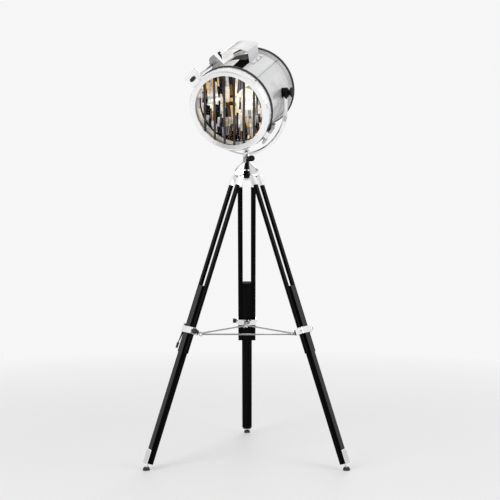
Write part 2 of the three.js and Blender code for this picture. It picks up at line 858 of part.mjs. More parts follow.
// The drum's skin with a flange at each end, a vent slot on top and the pivot holes
function drumShell() {
  const profile = [
    [drumInner, -drumRear],
    [flangeRadius, -drumRear],
    [flangeRadius, flangeThickness - drumRear],
    [drumRadius, flangeThickness - drumRear],
    [drumRadius, drumFront - flangeThickness],
    [flangeRadius, drumFront - flangeThickness],
    [flangeRadius, drumFront],
    [drumInner, drumFront],
  ];
  const reach = drumRadius + cutOverrun;
  const pivotHoles = alongX(rod(trunnionShankRadius + clearance, -reach, reach, pinSides));
  const ventMiddle = (hoodFront - hoodRear) / 2;
  const ventSlot = block(
    -ventSlotHalfWidth, ventSlotHalfWidth,
    0, reach,
    ventMiddle - ventSlotHalfLength, ventMiddle + ventSlotHalfLength,
  );
  return cut(revolveRing(profile, drumSides), pivotHoles, ventSlot);
}

function gasket(radius, rear) {
  const front = rear + gasketThickness;
  return revolveRing([[drumInner, rear], [radius, rear], [radius, front], [drumInner, front]], drumSides);
}

// The spun rear cover: a flange, a curved wall and a flat back with the cord's inlet
function rearCover() {
  const seat = -drumRear - gasketGap;
  const back = seat - flangeThickness;
  const end = back - rearCoverDepth;
  const outside = coverCurve(rearFlatRadius, drumRadius, back, rearCoverDepth);
  const inside = coverCurve(rearFlatRadius - drumWall, drumInner - drumWall, back, rearCoverDepth - drumWall);
  const rim = [[rearCoverRadius, back], [rearCoverRadius, seat], [drumInner, seat]];
  const shell = revolve([[0, end], ...outside, ...rim, ...inside.reverse(), [0, end + drumWall]], drumSides);
  const gland = rod(glandRadius, end - glandHeight, end + drumWall / 2, pinSides);
  const hole = rod(glandHoleRadius, end - 2 * glandHeight, end + glandHeight, smallSides);
  return cut(join(shell, gland.translate(0, -glandOffset, 0)), hole.translate(0, -glandOffset, 0));
}

function coverCurve(innerRadius, outerRadius, start, depth) {
  const points = [];
  for (let step = 0; step <= coverSteps; step += 1) {
    const angle = (step / coverSteps) * quarterTurn;
    const radius = innerRadius + (outerRadius - innerRadius) * Math.sin(angle);
    points.push([radius, start - depth * Math.cos(angle)]);
  }
  return points;
}

// The parabolic mirror with a rim that seats in the drum
function reflector() {
  const rimRadius = Math.sqrt(4 * focalLength * (mirrorRim - mirrorVertex));
  const face = [];
  for (let step = 0; step <= mirrorSteps; step += 1) {
    const radius = mirrorNeckRadius + (rimRadius - mirrorNeckRadius) * (step / mirrorSteps);
    face.push([radius, mirrorVertex + radius ** 2 / (4 * focalLength)]);
  }
  const rear = face.map(([radius, height]) => [radius + mirrorWall, height - mirrorWall]).reverse();
  const seat = drumInner - clearance;
  return revolveRing([...face, [seat, mirrorRim], [seat, mirrorRim - mirrorWall], ...rear], drumSides);
}

// The lamp holder behind the mirror's neck
function lampHolder() {
  const neckAt = mirrorVertex + mirrorNeckRadius ** 2 / (4 * focalLength) - mirrorWall - clearance;
  const boreRadius = bulbCapRadius + clearance;
  const profile = [
    [0, holderRear],
    [holderRadius, holderRear],
    [holderRadius, neckAt - holderFlangeThickness],
    [holderFlangeRadius, neckAt - holderFlangeThickness],
    [holderFlangeRadius, neckAt],
    [holderRadius, neckAt],
    [holderRadius, holderFront],
    [boreRadius, holderFront],
    [boreRadius, holderFront - socketDepth],
    [0, holderFront - socketDepth],
  ];
  return revolve(profile, knobSides);
}

// The bulb: a screw cap in the holder and a round envelope
function bulb() {
  const capEnd = holderFront - socketDepth + clearance;
  const profile = [[0, capEnd], [bulbCapRadius, capEnd], [bulbCapRadius, holderFront + looseFit]];
  profile.push([bulbNeck.radius, bulbNeck.height]);
  for (let step = 0; step < mirrorSteps; step += 1) {
    const angle = bulbShoulderAngle + (quarterTurn - bulbShoulderAngle) * (step / mirrorSteps);
    profile.push([bulbRadius * Math.cos(angle), bulbCentre + bulbRadius * Math.sin(angle)]);
  }
  profile.push([0, bulbCentre + bulbRadius]);
  return revolve(profile, knobSides);
}

// The hood over the vent slot: two walls and a back under an arched roof that overhangs them
function ventHood() {
  const outside = hoodArch(hoodHalfWidth, hoodApex, 0);
  const inside = hoodArch(hoodHalfWidth - hoodWall, hoodApex - hoodWall, 0);
  const block = extrude(outside, -hoodRear, hoodFront, curveSteps);
  const hollow = extrude(inside, -hoodRear - cutOverrun, hoodFront + cutOverrun, curveSteps);
  const walls = cut(block, hollow, drumCore());
  const roofShape = hoodArch(hoodHalfWidth + roofLip, hoodApex, hoodEave - roofLip);
  const roof = extrude(roofShape, -roofRear, roofFront, curveSteps);
  const under = extrude(inside, -roofRear - cutOverrun, roofFront + cutOverrun, curveSteps);
  return join(walls, cut(roof, under), hoodFeet());
}

// The two curved feet of the hood, which lie on the drum and take its screws
function hoodFeet() {
  const inner = drumRadius + clearance;
  const outer = inner + hoodWall;
  const section = [[inner, -hoodRear], [outer, -hoodRear], [outer, hoodFront], [inner, hoodFront]];
  const ring = revolveRing(section, drumSides);
  const footEnd = Math.sqrt(outer ** 2 - hoodFootReach ** 2);
  const middle = hoodHalfWidth - hoodWall;
  const between = block(-middle, middle, 0, 2 * outer, -2 * hoodRear, 2 * hoodRear);
  const below = block(-2 * outer, 2 * outer, -2 * outer, footEnd, -2 * hoodRear, 2 * hoodRear);
  return cut(ring, between, below);
}

// An arch through the apex over two upright sides that start at the given height
function hoodArch(halfWidth, apex, bottom) {
  const rise = apex - hoodEave;
  const radius = (halfWidth ** 2 + rise ** 2) / (2 * rise);
  const centre = apex - radius;
  const start = Math.atan2(hoodEave - centre, halfWidth);
  const shape = new THREE.Shape();
  shape.moveTo(halfWidth, bottom);
  shape.lineTo(halfWidth, hoodEave);
  shape.absarc(0, centre, radius, start, halfTurn - start);
  shape.lineTo(-halfWidth, bottom);
  return shape;
}

// A pivot stub on the drum's side: an inner head, a flared bush and the pin through the yoke
function trunnion(side) {
  const faceAt = yokeInnerRadius - clearance;
  const flare = alongX(revolve([
    [0, drumInner],
    [trunnionFlareRadius, drumInner],
    [trunnionFlareRadius, drumRadius + looseFit],
    [trunnionFaceRadius, faceAt],
    [0, faceAt],
  ], knobSides));
  const headEnd = drumInner - looseFit;
  const head = alongX(rod(trunnionHeadRadius, headEnd - trunnionHeadThickness, headEnd, pinSides));
  const shankStart = headEnd - trunnionHeadThickness / 2;
  const shank = alongX(rod(trunnionShankRadius, shankStart, faceAt - looseFit, pinSides));
  const pin = alongX(rod(trunnionPinRadius, faceAt - looseFit, yokeOuterRadius + pinReach, pinSides));
  const stub = join(cut(flare, drumCore()), head, shank, pin);
  return side < 0 ? stub.rotateZ(halfTurn) : stub;
}

// A spool-shaped knob on the pivot pin
function tiltKnob(side) {
  const seat = yokeOuterRadius + clearance;
  const boreEnd = yokeOuterRadius + pinReach + clearance;
  const end = seat + tiltKnobLength;
  const boreRadius = trunnionPinRadius + clearance;
  const profile = [
    [0, boreEnd],
    [boreRadius, boreEnd],
    [boreRadius, seat],
    [tiltKnobRadius - knobRounding, seat],
    [tiltKnobRadius, seat + knobRounding],
    [tiltKnobRadius - knobRounding, seat + tiltLobeLength],
    [tiltKnobWaist, seat + 2 * tiltLobeLength],
    [tiltKnobRadius - knobRounding, end - tiltLobeLength],
    [tiltKnobRadius, end - knobRounding],
    [tiltKnobRadius - knobRounding, end],
    [0, end],
  ];
  const knob = alongX(revolve(profile, knobSides));
  return side < 0 ? knob.rotateZ(halfTurn) : knob;
}

// The door's ring, with the hinge's middle knuckle and the lug of the closure cast on
function bezelRing() {
  const profile = [
    [glassSeatRadius + clearance, bezelRear],
    [bezelRadius, bezelRear],
    [bezelRadius, bezelRear + bezelSideLength],
    [bezelBrowRadius, bezelRear + bezelBrowDepth],
    [bezelCrestRadius, bezelFront],
    [openingRadius, bezelRear + openingDepth],
    [openingRadius, lipRear],
    [glassSeatRadius + clearance, lipRear],
  ];
  const ring = revolveRing(profile, drumSides);
  const half = doorKnuckleHalf - clearance;
  const knuckle = alongY(rod(knuckleRadius, -half, half, pinSides));
  knuckle.translate(hingeAxisRadius, 0, hingeAxisAt);
  const web = block(hingeWebInner, hingeAxisRadius, -half, half, bezelRear, bezelRear + hingeWebLength);
  const bore = alongY(rod(hingePinRadius + clearance, -leafHalf, leafHalf, pinSides));
  bore.translate(hingeAxisRadius, 0, hingeAxisAt);
  const hingeSide = join(knuckle, web).rotateZ(hingeAzimuth);
  const hole = rod(closureRodRadius + clearance, 0, 2 * catchLugFront, pinSides);
  hole.translate(closureRadius, 0, 0).rotateZ(closureAzimuth);
  return cut(join(ring, hingeSide, catchLug()), bore.rotateZ(hingeAzimuth), hole);
}

function catchLug() {
  const shape = roundedRectangle(catchLugRadial, catchLugWidth, catchLugCorner);
  const lug = extrude(shape, catchLugRear, catchLugFront);
  return lug.translate(catchLugCentre, catchLugShift, 0).rotateZ(closureAzimuth);
}

// The hinge's leaf on the drum: a base, two outer knuckles and the ball-ended pin
function doorHinge() {
  const outer = hingeAxisRadius - knuckleRadius + leafThickness;
  const inner = outer - leafThickness;
  const baseBlock = block(drumInner, outer, -leafHalf, leafHalf, leafBaseFront - leafBaseLength, leafBaseFront);
  const pieces = [cut(baseBlock, drumCore().rotateZ(-hingeAzimuth))];
  for (const side of [-1, 1]) {
    const [from, to] = side < 0 ? [-leafHalf, -doorKnuckleHalf] : [doorKnuckleHalf, leafHalf];
    const knuckle = alongY(rod(knuckleRadius, from, to, pinSides));
    pieces.push(knuckle.translate(hingeAxisRadius, 0, hingeAxisAt));
    pieces.push(block(inner, outer, from, to, leafBaseFront - leafThickness, hingeAxisAt));
    const ball = revolve(ballProfile(hingeBallRadius), smallSides);
    pieces.push(ball.translate(hingeAxisRadius, side * (leafHalf + hingeBallRadius / 2), hingeAxisAt));
  }
  const pin = alongY(rod(hingePinRadius, -leafHalf, leafHalf, pinSides));
  pieces.push(pin.translate(hingeAxisRadius, 0, hingeAxisAt));
  return join(...pieces).rotateZ(hingeAzimuth);
}

function ballProfile(radius) {
  const profile = [[0, -radius]];
  for (let step = 1; step < curveSteps; step += 1) {
    const angle = (step / curveSteps) * halfTurn - quarterTurn;
    profile.push([radius * Math.cos(angle), radius * Math.sin(angle)]);
  }
  profile.push([0, radius]);
  return profile;
}

// The closure: a rod through the lug with an oval head in front and a crossbar behind
function closureBolt() {
  const headStart = catchLugFront + clearance;
  const shaft = rod(closureRodRadius, closureRodRear, headStart + closureHeadThickness / 2, pinSides);
  const headShape = roundedRectangle(closureHeadWidth, closureHeadLength, closureHeadWidth / 2 - clearance);
  const head = extrude(headShape, headStart, headStart + closureHeadThickness, curveSteps);
  const bar = alongX(rod(crossbarRadius, crossbarInner - closureRadius, crossbarOuter - closureRadius, smallSides));
  const bolt = join(shaft, head, bar.translate(0, 0, crossbarAt));
  return bolt.translate(closureRadius, 0, 0).rotateZ(closureAzimuth);
}

// The keeper on the drum: a wedge with an open cradle for the rod's rear end
function boltKeeper() {
  const inner = drumInner - drumWall;
  const shape = outline([
    [inner, -keeperReach],
    [keeperPeak, -keeperReach],
    [keeperPeak, keeperHalf - keeperReach],
    [keeperOuter, keeperHalf],
    [inner, keeperHalf],
  ]);
  const wedge = extrude(shape, 0, keeperLength);
  const cradle = block(
    closureRadius - cradleHalf, 2 * closureRadius,
    -cradleHalf, 2 * cradleHalf,
    closureRodRear - cutOverrun, 2 * keeperLength,
  );
  return cut(wedge, drumCore().rotateZ(-closureAzimuth), cradle).rotateZ(closureAzimuth);
}

// The pane in the door's recess, behind the bars
function frontGlass() {
  const front = lipRear - grilleThickness - 2 * clearance;
  return rod(glassSeatRadius, front - glassThickness, front, drumSides);
}

// The leaning bars, cast in one piece with a thin ring behind the opening's lip
function grille() {
  const front = lipRear - clearance;
  const rear = front - grilleThickness;
  const inner = glassSeatRadius - grilleRingWidth;
  const section = [[inner, rear], [glassSeatRadius, rear], [glassSeatRadius, front], [inner, front]];
  const bars = [];
  for (let index = 0; index < barCount; index += 1) {
    const centre = (index - (barCount - 1) / 2) * barSpacing;
    const half = Math.sqrt((glassSeatRadius - grilleRingWidth / 2) ** 2 - centre ** 2);
    const bar = block(centre - barWidth / 2, centre + barWidth / 2, -half, half, rear, front);
    bars.push(bar.rotateZ(barLean));
  }
  return join(revolveRing(section, drumSides), ...bars);
}

function addLeg(lamp, { name, azimuth }, hasLever) {
  const level = frameIn(lamp, 0, 0, 0);
  level.rotation.z = azimuth;
  const leg = frameIn(level, hingeRadius, 0, hingeHeight);
  leg.rotation.y = -legSplay;
  place(leg, `${name}_slat_a`, slat(1), blackWood);
  place(leg, `${name}_slat_b`, slat(-1), blackWood);
  place(leg, `${name}_ferrule_a`, ferrule(1), chrome);
  place(leg, `${name}_ferrule_b`, ferrule(-1), chrome);
  place(leg, `${name}_leg_bolt`, legBolt(), chrome);
  place(leg, `${name}_clamp_band`, clampBand(hasLever), chrome);
  place(leg, `${name}_clamp_knob`, clampKnob(), blackKnob);
  place(leg, `${name}_pole`, pole(), blackWood);
  place(leg, `${name}_foot_shoe`, footShoe(), chrome);
  if (hasLever) {
    place(leg, 'clamp_lever', clampLever(), chrome);
  }
  const eye = frameIn(level, eyeRadius, 0, eyeHeight);
  place(eye, `${name}_spreader_bracket`, spreaderBracket(), chrome);
  const root = frameIn(eye, eyeOffset * Math.cos(sixthTurn), eyeOffset * Math.sin(sixthTurn), 0);
  root.rotation.z = sixthTurn + quarterTurn;
  place(root, `${name}_spreader_rod`, spreaderRod(), chrome);
  place(frameIn(level, footRadius, 0, 0), `${name}_foot_pad`, footPad(), rubber);
}

function addCrown(lamp) {
  place(lamp, 'crown', crown(), chrome);
  place(lamp, 'crown_finial', crownFinial(), chrome);
  place(lamp, 'swivel_knob', swivelKnob(), blackKnob);
}

function addYoke(turning) {
  place(turning, 'yoke', yoke(), chrome);
  place(turning, 'swivel_stem', swivelStem(), chrome);
}

function addHead(turning) {
  const head = frameIn(turning, 0, 0, pivotHeight);
  head.rotation.x = quarterTurn + headPitch;
  place(head, 'drum_shell', drumShell(), chrome);
  place(head, 'rear_cover', rearCover(), chrome);
  place(head, 'rear_gasket', gasket(rearGasketRadius, -drumRear - clearance - gasketThickness), rubber);
  place(head, 'front_gasket', gasket(frontGasketRadius, drumFront + clearance), rubber);
  place(head, 'reflector', reflector(), mirror);
  place(head, 'lamp_holder', lampHolder(), porcelain);
  place(head, 'bulb', bulb(), bulbGlass);
  place(head, 'vent_hood', ventHood(), chrome);
  place(head, 'door_hinge', doorHinge(), chrome);
  place(head, 'bolt_keeper', boltKeeper(), brushedSteel);
  place(head, 'trunnion_left', trunnion(-1), darkMetal);
  place(head, 'trunnion_right', trunnion(1), darkMetal);
  place(head, 'tilt_knob_left', tiltKnob(-1), blackKnob);
  place(head, 'tilt_knob_right', tiltKnob(1), blackKnob);
  place(head, 'bezel_ring', bezelRing(), chrome);
  place(head, 'front_glass', frontGlass(), clearGlass);
  place(head, 'grille', grille(), chrome);
  place(head, 'closure_bolt', closureBolt(), darkMetal);
}

function buildLamp() {
  const lamp = new THREE.Group();
  legs.forEach((leg, index) => addLeg(lamp, leg, index === 0));
  addCrown(lamp);
  const turning = frameIn(lamp, 0, 0, 0);
  turning.rotation.z = -headYaw;
  addYoke(turning);
  addHead(turning);
  return lamp;
}

// Centres the lamp's bounding box over the origin
const lamp = buildLamp();
const middle = new THREE.Box3().setFromObject(lamp, true).getCenter(new THREE.Vector3());
lamp.position.set(-middle.x, -middle.y, 0);
const part = new THREE.Group();
part.add(lamp);

export default part;
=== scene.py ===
import math

import bmesh
import bpy
from mathutils import Matrix, Vector


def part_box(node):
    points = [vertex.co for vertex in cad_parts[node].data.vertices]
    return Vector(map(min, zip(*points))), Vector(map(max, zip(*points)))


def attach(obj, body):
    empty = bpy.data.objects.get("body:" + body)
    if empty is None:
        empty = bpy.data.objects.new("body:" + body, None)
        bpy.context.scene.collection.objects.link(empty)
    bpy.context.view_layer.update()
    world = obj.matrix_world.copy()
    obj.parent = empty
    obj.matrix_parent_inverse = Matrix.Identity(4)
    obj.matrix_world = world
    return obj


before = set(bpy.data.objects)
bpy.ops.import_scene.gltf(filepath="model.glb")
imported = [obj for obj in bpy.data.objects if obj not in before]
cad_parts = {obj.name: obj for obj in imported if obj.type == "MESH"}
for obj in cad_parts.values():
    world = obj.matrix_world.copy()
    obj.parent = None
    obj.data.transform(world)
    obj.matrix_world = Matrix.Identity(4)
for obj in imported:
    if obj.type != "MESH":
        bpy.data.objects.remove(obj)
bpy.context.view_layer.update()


# Camera
# The lamp stands 1.62 metres tall and is seen from three and a half metres away,
# level with its middle, through a long lens. The swivel stem marks the upright axis that
# the head turns on, and every place below is counted from it.
camera_distance = 3.5
camera_side = 0.013
camera_height = 0.856
camera_tilt = math.radians(0.82)
focal_share = 897.8 / 500
sensor_width = 36.0

stem_low, stem_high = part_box("swivel_stem")
lamp_axis = (Vector(stem_low) + Vector(stem_high)) / 2
lamp_frame = Matrix.Translation((lamp_axis.x, lamp_axis.y, 0))

camera_data = bpy.data.cameras.new("studio_camera")
camera_data.sensor_width = sensor_width
camera_data.lens = focal_share * sensor_width
camera = bpy.data.objects.new("studio_camera", camera_data)
camera.location = (lamp_axis.x + camera_side, lamp_axis.y - camera_distance, camera_height)
camera.rotation_euler = (math.pi / 2 - camera_tilt, 0, 0)
bpy.context.scene.collection.objects.link(camera)
bpy.context.scene.camera = camera
bpy.context.scene.view_settings.view_transform = "Standard"


# Studio air
# A pale studio surrounds the lamp on every side. Polished metal also sees the soft grey
# bands of its walls and the darker room that lies behind the camera.
air_fill = 0.78
air_seen = 0.925
band_tones = (
    (0.0, 1.0),
    (0.36, 0.96),
    (0.46, 0.6),
    (0.5, 0.5),
    (0.56, 0.86),
    (0.74, 1.0),
    (0.86, 0.72),
    (1.0, 0.9),
)
dark_room_tone = 0.16
dark_room_edge = 0.55
dark_room_core = 0.93


def put_node(tree, kind, **settings):
    node = tree.nodes.new(kind)
    for name, value in settings.items():
        setattr(node, name, value)
    return node


def feed(tree, target, value):
    if isinstance(value, bpy.types.NodeSocket):
        tree.links.new(value, target)
    else:
        target.default_value = value


def calculate(tree, operation, first, second=0.0, third=0.0):
    node = put_node(tree, "ShaderNodeMath", operation=operation)
    for socket, value in zip(node.inputs, (first, second, third)):
        feed(tree, socket, value)
    return node.outputs[0]


def spread(tree, value, low, high, to_low, to_high):
    node = put_node(tree, "ShaderNodeMapRange")
    for name, setting in (
        ("Value", value),
        ("From Min", low),
        ("From Max", high),
        ("To Min", to_low),
        ("To Max", to_high),
    ):
        feed(tree, node.inputs[name], setting)
    return node.outputs["Result"]


def split(tree, vector):
    node = put_node(tree, "ShaderNodeSeparateXYZ")
    feed(tree, node.inputs[0], vector)
    return node.outputs


def tone_ramp(tree, value, tones):
    ramp = put_node(tree, "ShaderNodeValToRGB")
    while len(ramp.color_ramp.elements) < len(tones):
        ramp.color_ramp.elements.new(0.5)
    for element, (place, tone) in zip(ramp.color_ramp.elements, tones):
        element.position = place
        element.color = tone
    feed(tree, ramp.inputs[0], value)
    return ramp.outputs["Color"]


def blend_colours(tree, share, first, second):
    node = put_node(tree, "ShaderNodeMix", data_type="RGBA")
    feed(tree, node.inputs["Factor"], share)
    feed(tree, node.inputs["A"], first)
    feed(tree, node.inputs["B"], second)
    return node.outputs["Result"]


def mix_shaders(tree, share, first, second):
    node = put_node(tree, "ShaderNodeMixShader")
    for socket, value in zip(node.inputs, (share, first, second)):
        feed(tree, socket, value)
    return node.outputs[0]


air = bpy.data.worlds.new("studio_air")
air.use_nodes = True
air_tree = air.node_tree
air_tree.nodes.clear()
air_way = put_node(air_tree, "ShaderNodeTexCoord").outputs["Generated"]
air_parts = split(air_tree, air_way)
air_height = spread(air_tree, air_parts["Z"], -1.0, 1.0, 0.0, 1.0)
air_greys = [(place, (tone, tone, tone, 1)) for place, tone in band_tones]
air_bands = tone_ramp(air_tree, air_height, air_greys)
toward_room = calculate(air_tree, "MULTIPLY", air_parts["Y"], -1.0)
room_share = spread(air_tree, toward_room, dark_room_edge, dark_room_core, 0.0, 1.0)
room_dark = (dark_room_tone, dark_room_tone, dark_room_tone, 1)
room_mix = blend_colours(air_tree, room_share, air_bands, room_dark)
air_light = put_node(air_tree, "ShaderNodeBackground")
air_light.inputs["Strength"].default_value = air_fill
air_view = put_node(air_tree, "ShaderNodeBackground")
air_view.inputs["Color"].default_value = (air_seen, air_seen, air_seen, 1)
air_mirror = put_node(air_tree, "ShaderNodeBackground")
feed(air_tree, air_mirror.inputs["Color"], room_mix)
air_rays = put_node(air_tree, "ShaderNodeLightPath")
sees_air = calculate(
    air_tree, "MAXIMUM", air_rays.outputs["Is Camera Ray"], air_rays.outputs["Is Transmission Ray"]
)
air_plain = mix_shaders(air_tree, sees_air, air_light.outputs[0], air_view.outputs[0])
air_whole = mix_shaders(
    air_tree, air_rays.outputs["Is Glossy Ray"], air_plain, air_mirror.outputs[0]
)
air_out = put_node(air_tree, "ShaderNodeOutputWorld")
feed(air_tree, air_out.inputs["Surface"], air_whole)
bpy.context.scene.world = air


# Soft lamps
# Two large square softboxes stand in front of the lamp, left and right, and a third
# hangs behind it. They add only as much as brings a white surface up to white.
softboxes = (
    ("key_softbox", (-2.0, -2.2, 2.7), 1.7, 34.0),
    ("fill_softbox", (2.4, -1.6, 1.9), 1.5, 17.0),
    ("rear_softbox", (0.6, 2.2, 2.9), 1.5, 15.0),
)
lamp_middle_height = 1.05
lamp_middle = Vector((lamp_axis.x, lamp_axis.y, lamp_middle_height))
for lamp_name, lamp_place, lamp_side, lamp_power in softboxes:
    lamp_data = bpy.data.lights.new(lamp_name, "AREA")
    lamp_data.size = lamp_side
    lamp_data.energy = lamp_power
    softbox = bpy.data.objects.new(lamp_name, lamp_data)
    softbox.location = Vector(lamp_place) + Vector((lamp_axis.x, lamp_axis.y, 0))
    aim = lamp_middle - softbox.location
    softbox.rotation_euler = aim.to_track_quat("-Z", "Y").to_euler()
    bpy.context.scene.collection.objects.link(softbox)


# Floor
# A wide sheet of matt white board lies under the lamp and keeps its shadow. Away from the
# lamp it fades into the pale air, so that no horizon shows.
floor_reach = 14.0
floor_sides = 96
floor_tone = 0.72
floor_glow = 0.15
floor_roughness = 0.6
floor_fade_start = 0.9
floor_fade_end = 3.2
mirrored_fade_start = 0.35
mirrored_fade_end = 1.3

floor_mesh = bpy.data.meshes.new("floor_board")
floor_form = bmesh.new()
bmesh.ops.create_circle(floor_form, cap_ends=True, radius=floor_reach, segments=floor_sides)
floor_form.to_mesh(floor_mesh)
floor_form.free()
floor_board = bpy.data.objects.new("floor_board", floor_mesh)
bpy.context.scene.collection.objects.link(floor_board)

board_paint = bpy.data.materials.new("board_paint")
board_paint.use_nodes = True
board_tree = board_paint.node_tree
board_shader = board_tree.nodes["Principled BSDF"]
board_shader.inputs["Base Color"].default_value = (floor_tone, floor_tone, floor_tone, 1)
board_shader.inputs["Roughness"].default_value = floor_roughness
board_shader.inputs["Emission Color"].default_value = (1, 1, 1, 1)
board_rays = put_node(board_tree, "ShaderNodeLightPath")
board_seen = calculate(
    board_tree,
    "MAXIMUM",
    board_rays.outputs["Is Camera Ray"],
    calculate(
        board_tree,
        "MAXIMUM",
        board_rays.outputs["Is Glossy Ray"],
        board_rays.outputs["Is Transmission Ray"],
    ),
)
feed(
    board_tree,
    board_shader.inputs["Emission Strength"],
    calculate(board_tree, "MULTIPLY", board_seen, floor_glow),
)
board_place = put_node(board_tree, "ShaderNodeTexCoord").outputs["Object"]
board_length = put_node(board_tree, "ShaderNodeVectorMath", operation="LENGTH")
feed(board_tree, board_length.inputs[0], board_place)
board_reach = board_length.outputs["Value"]
board_fade = calculate(
    board_tree,
    "MAXIMUM",
    calculate(
        board_tree,
        "MULTIPLY",
        spread(board_tree, board_reach, floor_fade_start, floor_fade_end, 0.0, 1.0),
        board_seen,
    ),
    calculate(
        board_tree,
        "MULTIPLY",
        spread(board_tree, board_reach, mirrored_fade_start, mirrored_fade_end, 0.0, 1.0),
        board_rays.outputs["Is Glossy Ray"],
    ),
)
board_air = put_node(board_tree, "ShaderNodeEmission")
board_air.inputs["Color"].default_value = (air_seen, air_seen, air_seen, 1)
board_mix = mix_shaders(board_tree, board_fade, board_shader.outputs[0], board_air.outputs[0])
feed(board_tree, board_tree.nodes["Material Output"].inputs["Surface"], board_mix)
floor_mesh.materials.append(board_paint)


# Slats and poles
# Each leg is two slim hardwood slats with a pole that slides between them. The wood is
# planed, its edges are eased, and it is sprayed with black lacquer that lets the grain
# show as fine lines along the leg.
leg_turns = {
    "left": math.radians(210),
    "right": math.radians(330),
    "back": math.radians(90),
}
hinge_radius = 0.043
hinge_height = 1.090
leg_splay = math.radians(19.3)
lacquer_dark = (0.0016, 0.0016, 0.0018, 1)
lacquer_light = (0.0085, 0.0082, 0.0085, 1)
grain_stretch = (1.0, 1.0, 0.022)
grain_fineness = 420.0
figure_fineness = 46.0
figure_limits = (0.3, 0.7)
pore_limits = (0.35, 0.6)
lacquer_smooth = 0.26
lacquer_dull = 0.44
slat_shine = 0.03
pole_shine = 0.2
pole_face = 0.0116
face_softness = 0.0003
grain_depth = 0.00006
shade_angle = math.radians(34)


def leg_frame(leg):
    level = lamp_frame @ Matrix.Rotation(leg_turns[leg], 4, "Z")
    hinge = Matrix.Translation((hinge_radius, 0, hinge_height))
    return level @ hinge @ Matrix.Rotation(-leg_splay, 4, "Y")


def start_group(name, inputs, outputs):
    group = bpy.data.node_groups.new(name, "ShaderNodeTree")
    for socket_name, kind, value in inputs:
        socket = group.interface.new_socket(name=socket_name, in_out="INPUT", socket_type=kind)
        if value is not None:
            socket.default_value = value
    for socket_name, kind in outputs:
        group.interface.new_socket(name=socket_name, in_out="OUTPUT", socket_type=kind)
    entry = group.nodes.new("NodeGroupInput")
    leave = group.nodes.new("NodeGroupOutput")
    return group, entry, leave


def stretch(tree, vector, scale):
    node = put_node(tree, "ShaderNodeMapping", vector_type="POINT")
    feed(tree, node.inputs["Vector"], vector)
    node.inputs["Scale"].default_value = scale
    return node.outputs[0]


def cloud(tree, vector, scale, detail=2.0, roughness=0.5, distortion=0.0):
    node = put_node(tree, "ShaderNodeTexNoise")
    feed(tree, node.inputs["Vector"], vector)
    feed(tree, node.inputs["Scale"], scale)
    node.inputs["Detail"].default_value = detail
    node.inputs["Roughness"].default_value = roughness
    node.inputs["Distortion"].default_value = distortion
    return node.outputs["Fac"]


def relief(tree, height, distance, shader):
    node = put_node(tree, "ShaderNodeBump")
    node.inputs["Distance"].default_value = distance
    feed(tree, node.inputs["Height"], height)
    tree.links.new(node.outputs["Normal"], shader.inputs["Normal"])


def start_finish(name, roughness, metallic):
    finish = bpy.data.materials.new(name)
    finish.use_nodes = True
    tree = finish.node_tree
    shader = tree.nodes["Principled BSDF"]
    shader.inputs["Roughness"].default_value = roughness
    shader.inputs["Metallic"].default_value = metallic
    return finish, tree, shader


def coordinates_in(tree, matrix):
    place = put_node(tree, "ShaderNodeTexCoord").outputs["Object"]
    node = put_node(tree, "ShaderNodeMapping", vector_type="TEXTURE")
    feed(tree, node.inputs["Vector"], place)
    node.inputs["Location"].default_value = matrix.to_translation()
    node.inputs["Rotation"].default_value = matrix.to_euler("XYZ")
    return node.outputs[0]


def use_group(tree, group, **values):
    node = put_node(tree, "ShaderNodeGroup")
    node.node_tree = group
    for name, value in values.items():
        feed(tree, node.inputs[name.replace("_", " ")], value)
    return node.outputs


def dress(node, finish):
    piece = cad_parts[node]
    for slot in piece.material_slots:
        slot.material = finish


grain_group, grain_in, grain_out = start_group(
    "lacquered grain",
    (("Vector", "NodeSocketVector", None), ("Fineness", "NodeSocketFloat", grain_fineness)),
    (("Figure", "NodeSocketFloat"), ("Pores", "NodeSocketFloat")),
)
grain_along = stretch(grain_group, grain_in.outputs["Vector"], grain_stretch)
grain_pores = cloud(grain_group, grain_along, grain_in.outputs["Fineness"], 3.0, 0.6, 0.4)
grain_figure = cloud(grain_group, grain_along, figure_fineness, 2.0, 0.5, 1.2)
feed(grain_group, grain_out.inputs["Figure"], spread(grain_group, grain_figure, *figure_limits, 0.0, 1.0))
feed(grain_group, grain_out.inputs["Pores"], spread(grain_group, grain_pores, *pore_limits, 0.0, 1.0))


def lacquered_wood(leg):
    finish, tree, shader = start_finish(f"{leg}_lacquered_wood", lacquer_smooth, 0.0)
    marks = use_group(tree, grain_group, Vector=coordinates_in(tree, leg_frame(leg)))
    tone = calculate(tree, "MULTIPLY", marks["Figure"], marks["Pores"])
    feed(tree, shader.inputs["Base Color"], blend_colours(tree, tone, lacquer_dark, lacquer_light))
    sheen = spread(tree, marks["Figure"], 0.0, 1.0, lacquer_smooth, lacquer_dull)
    feed(tree, shader.inputs["Roughness"], sheen)
    parts = split(tree, coordinates_in(tree, leg_frame(leg)))
    shine = spread(
        tree,
        parts["X"],
        pole_face - face_softness,
        pole_face + face_softness,
        slat_shine,
        pole_shine,
    )
    feed(tree, shader.inputs["Specular IOR Level"], shine)
    relief(tree, marks["Pores"], grain_depth, shader)
    return finish


for leg in leg_turns:
    leg_wood = lacquered_wood(leg)
    for part in ("slat_a", "slat_b", "pole"):
        dress(f"{leg}_{part}", leg_wood)


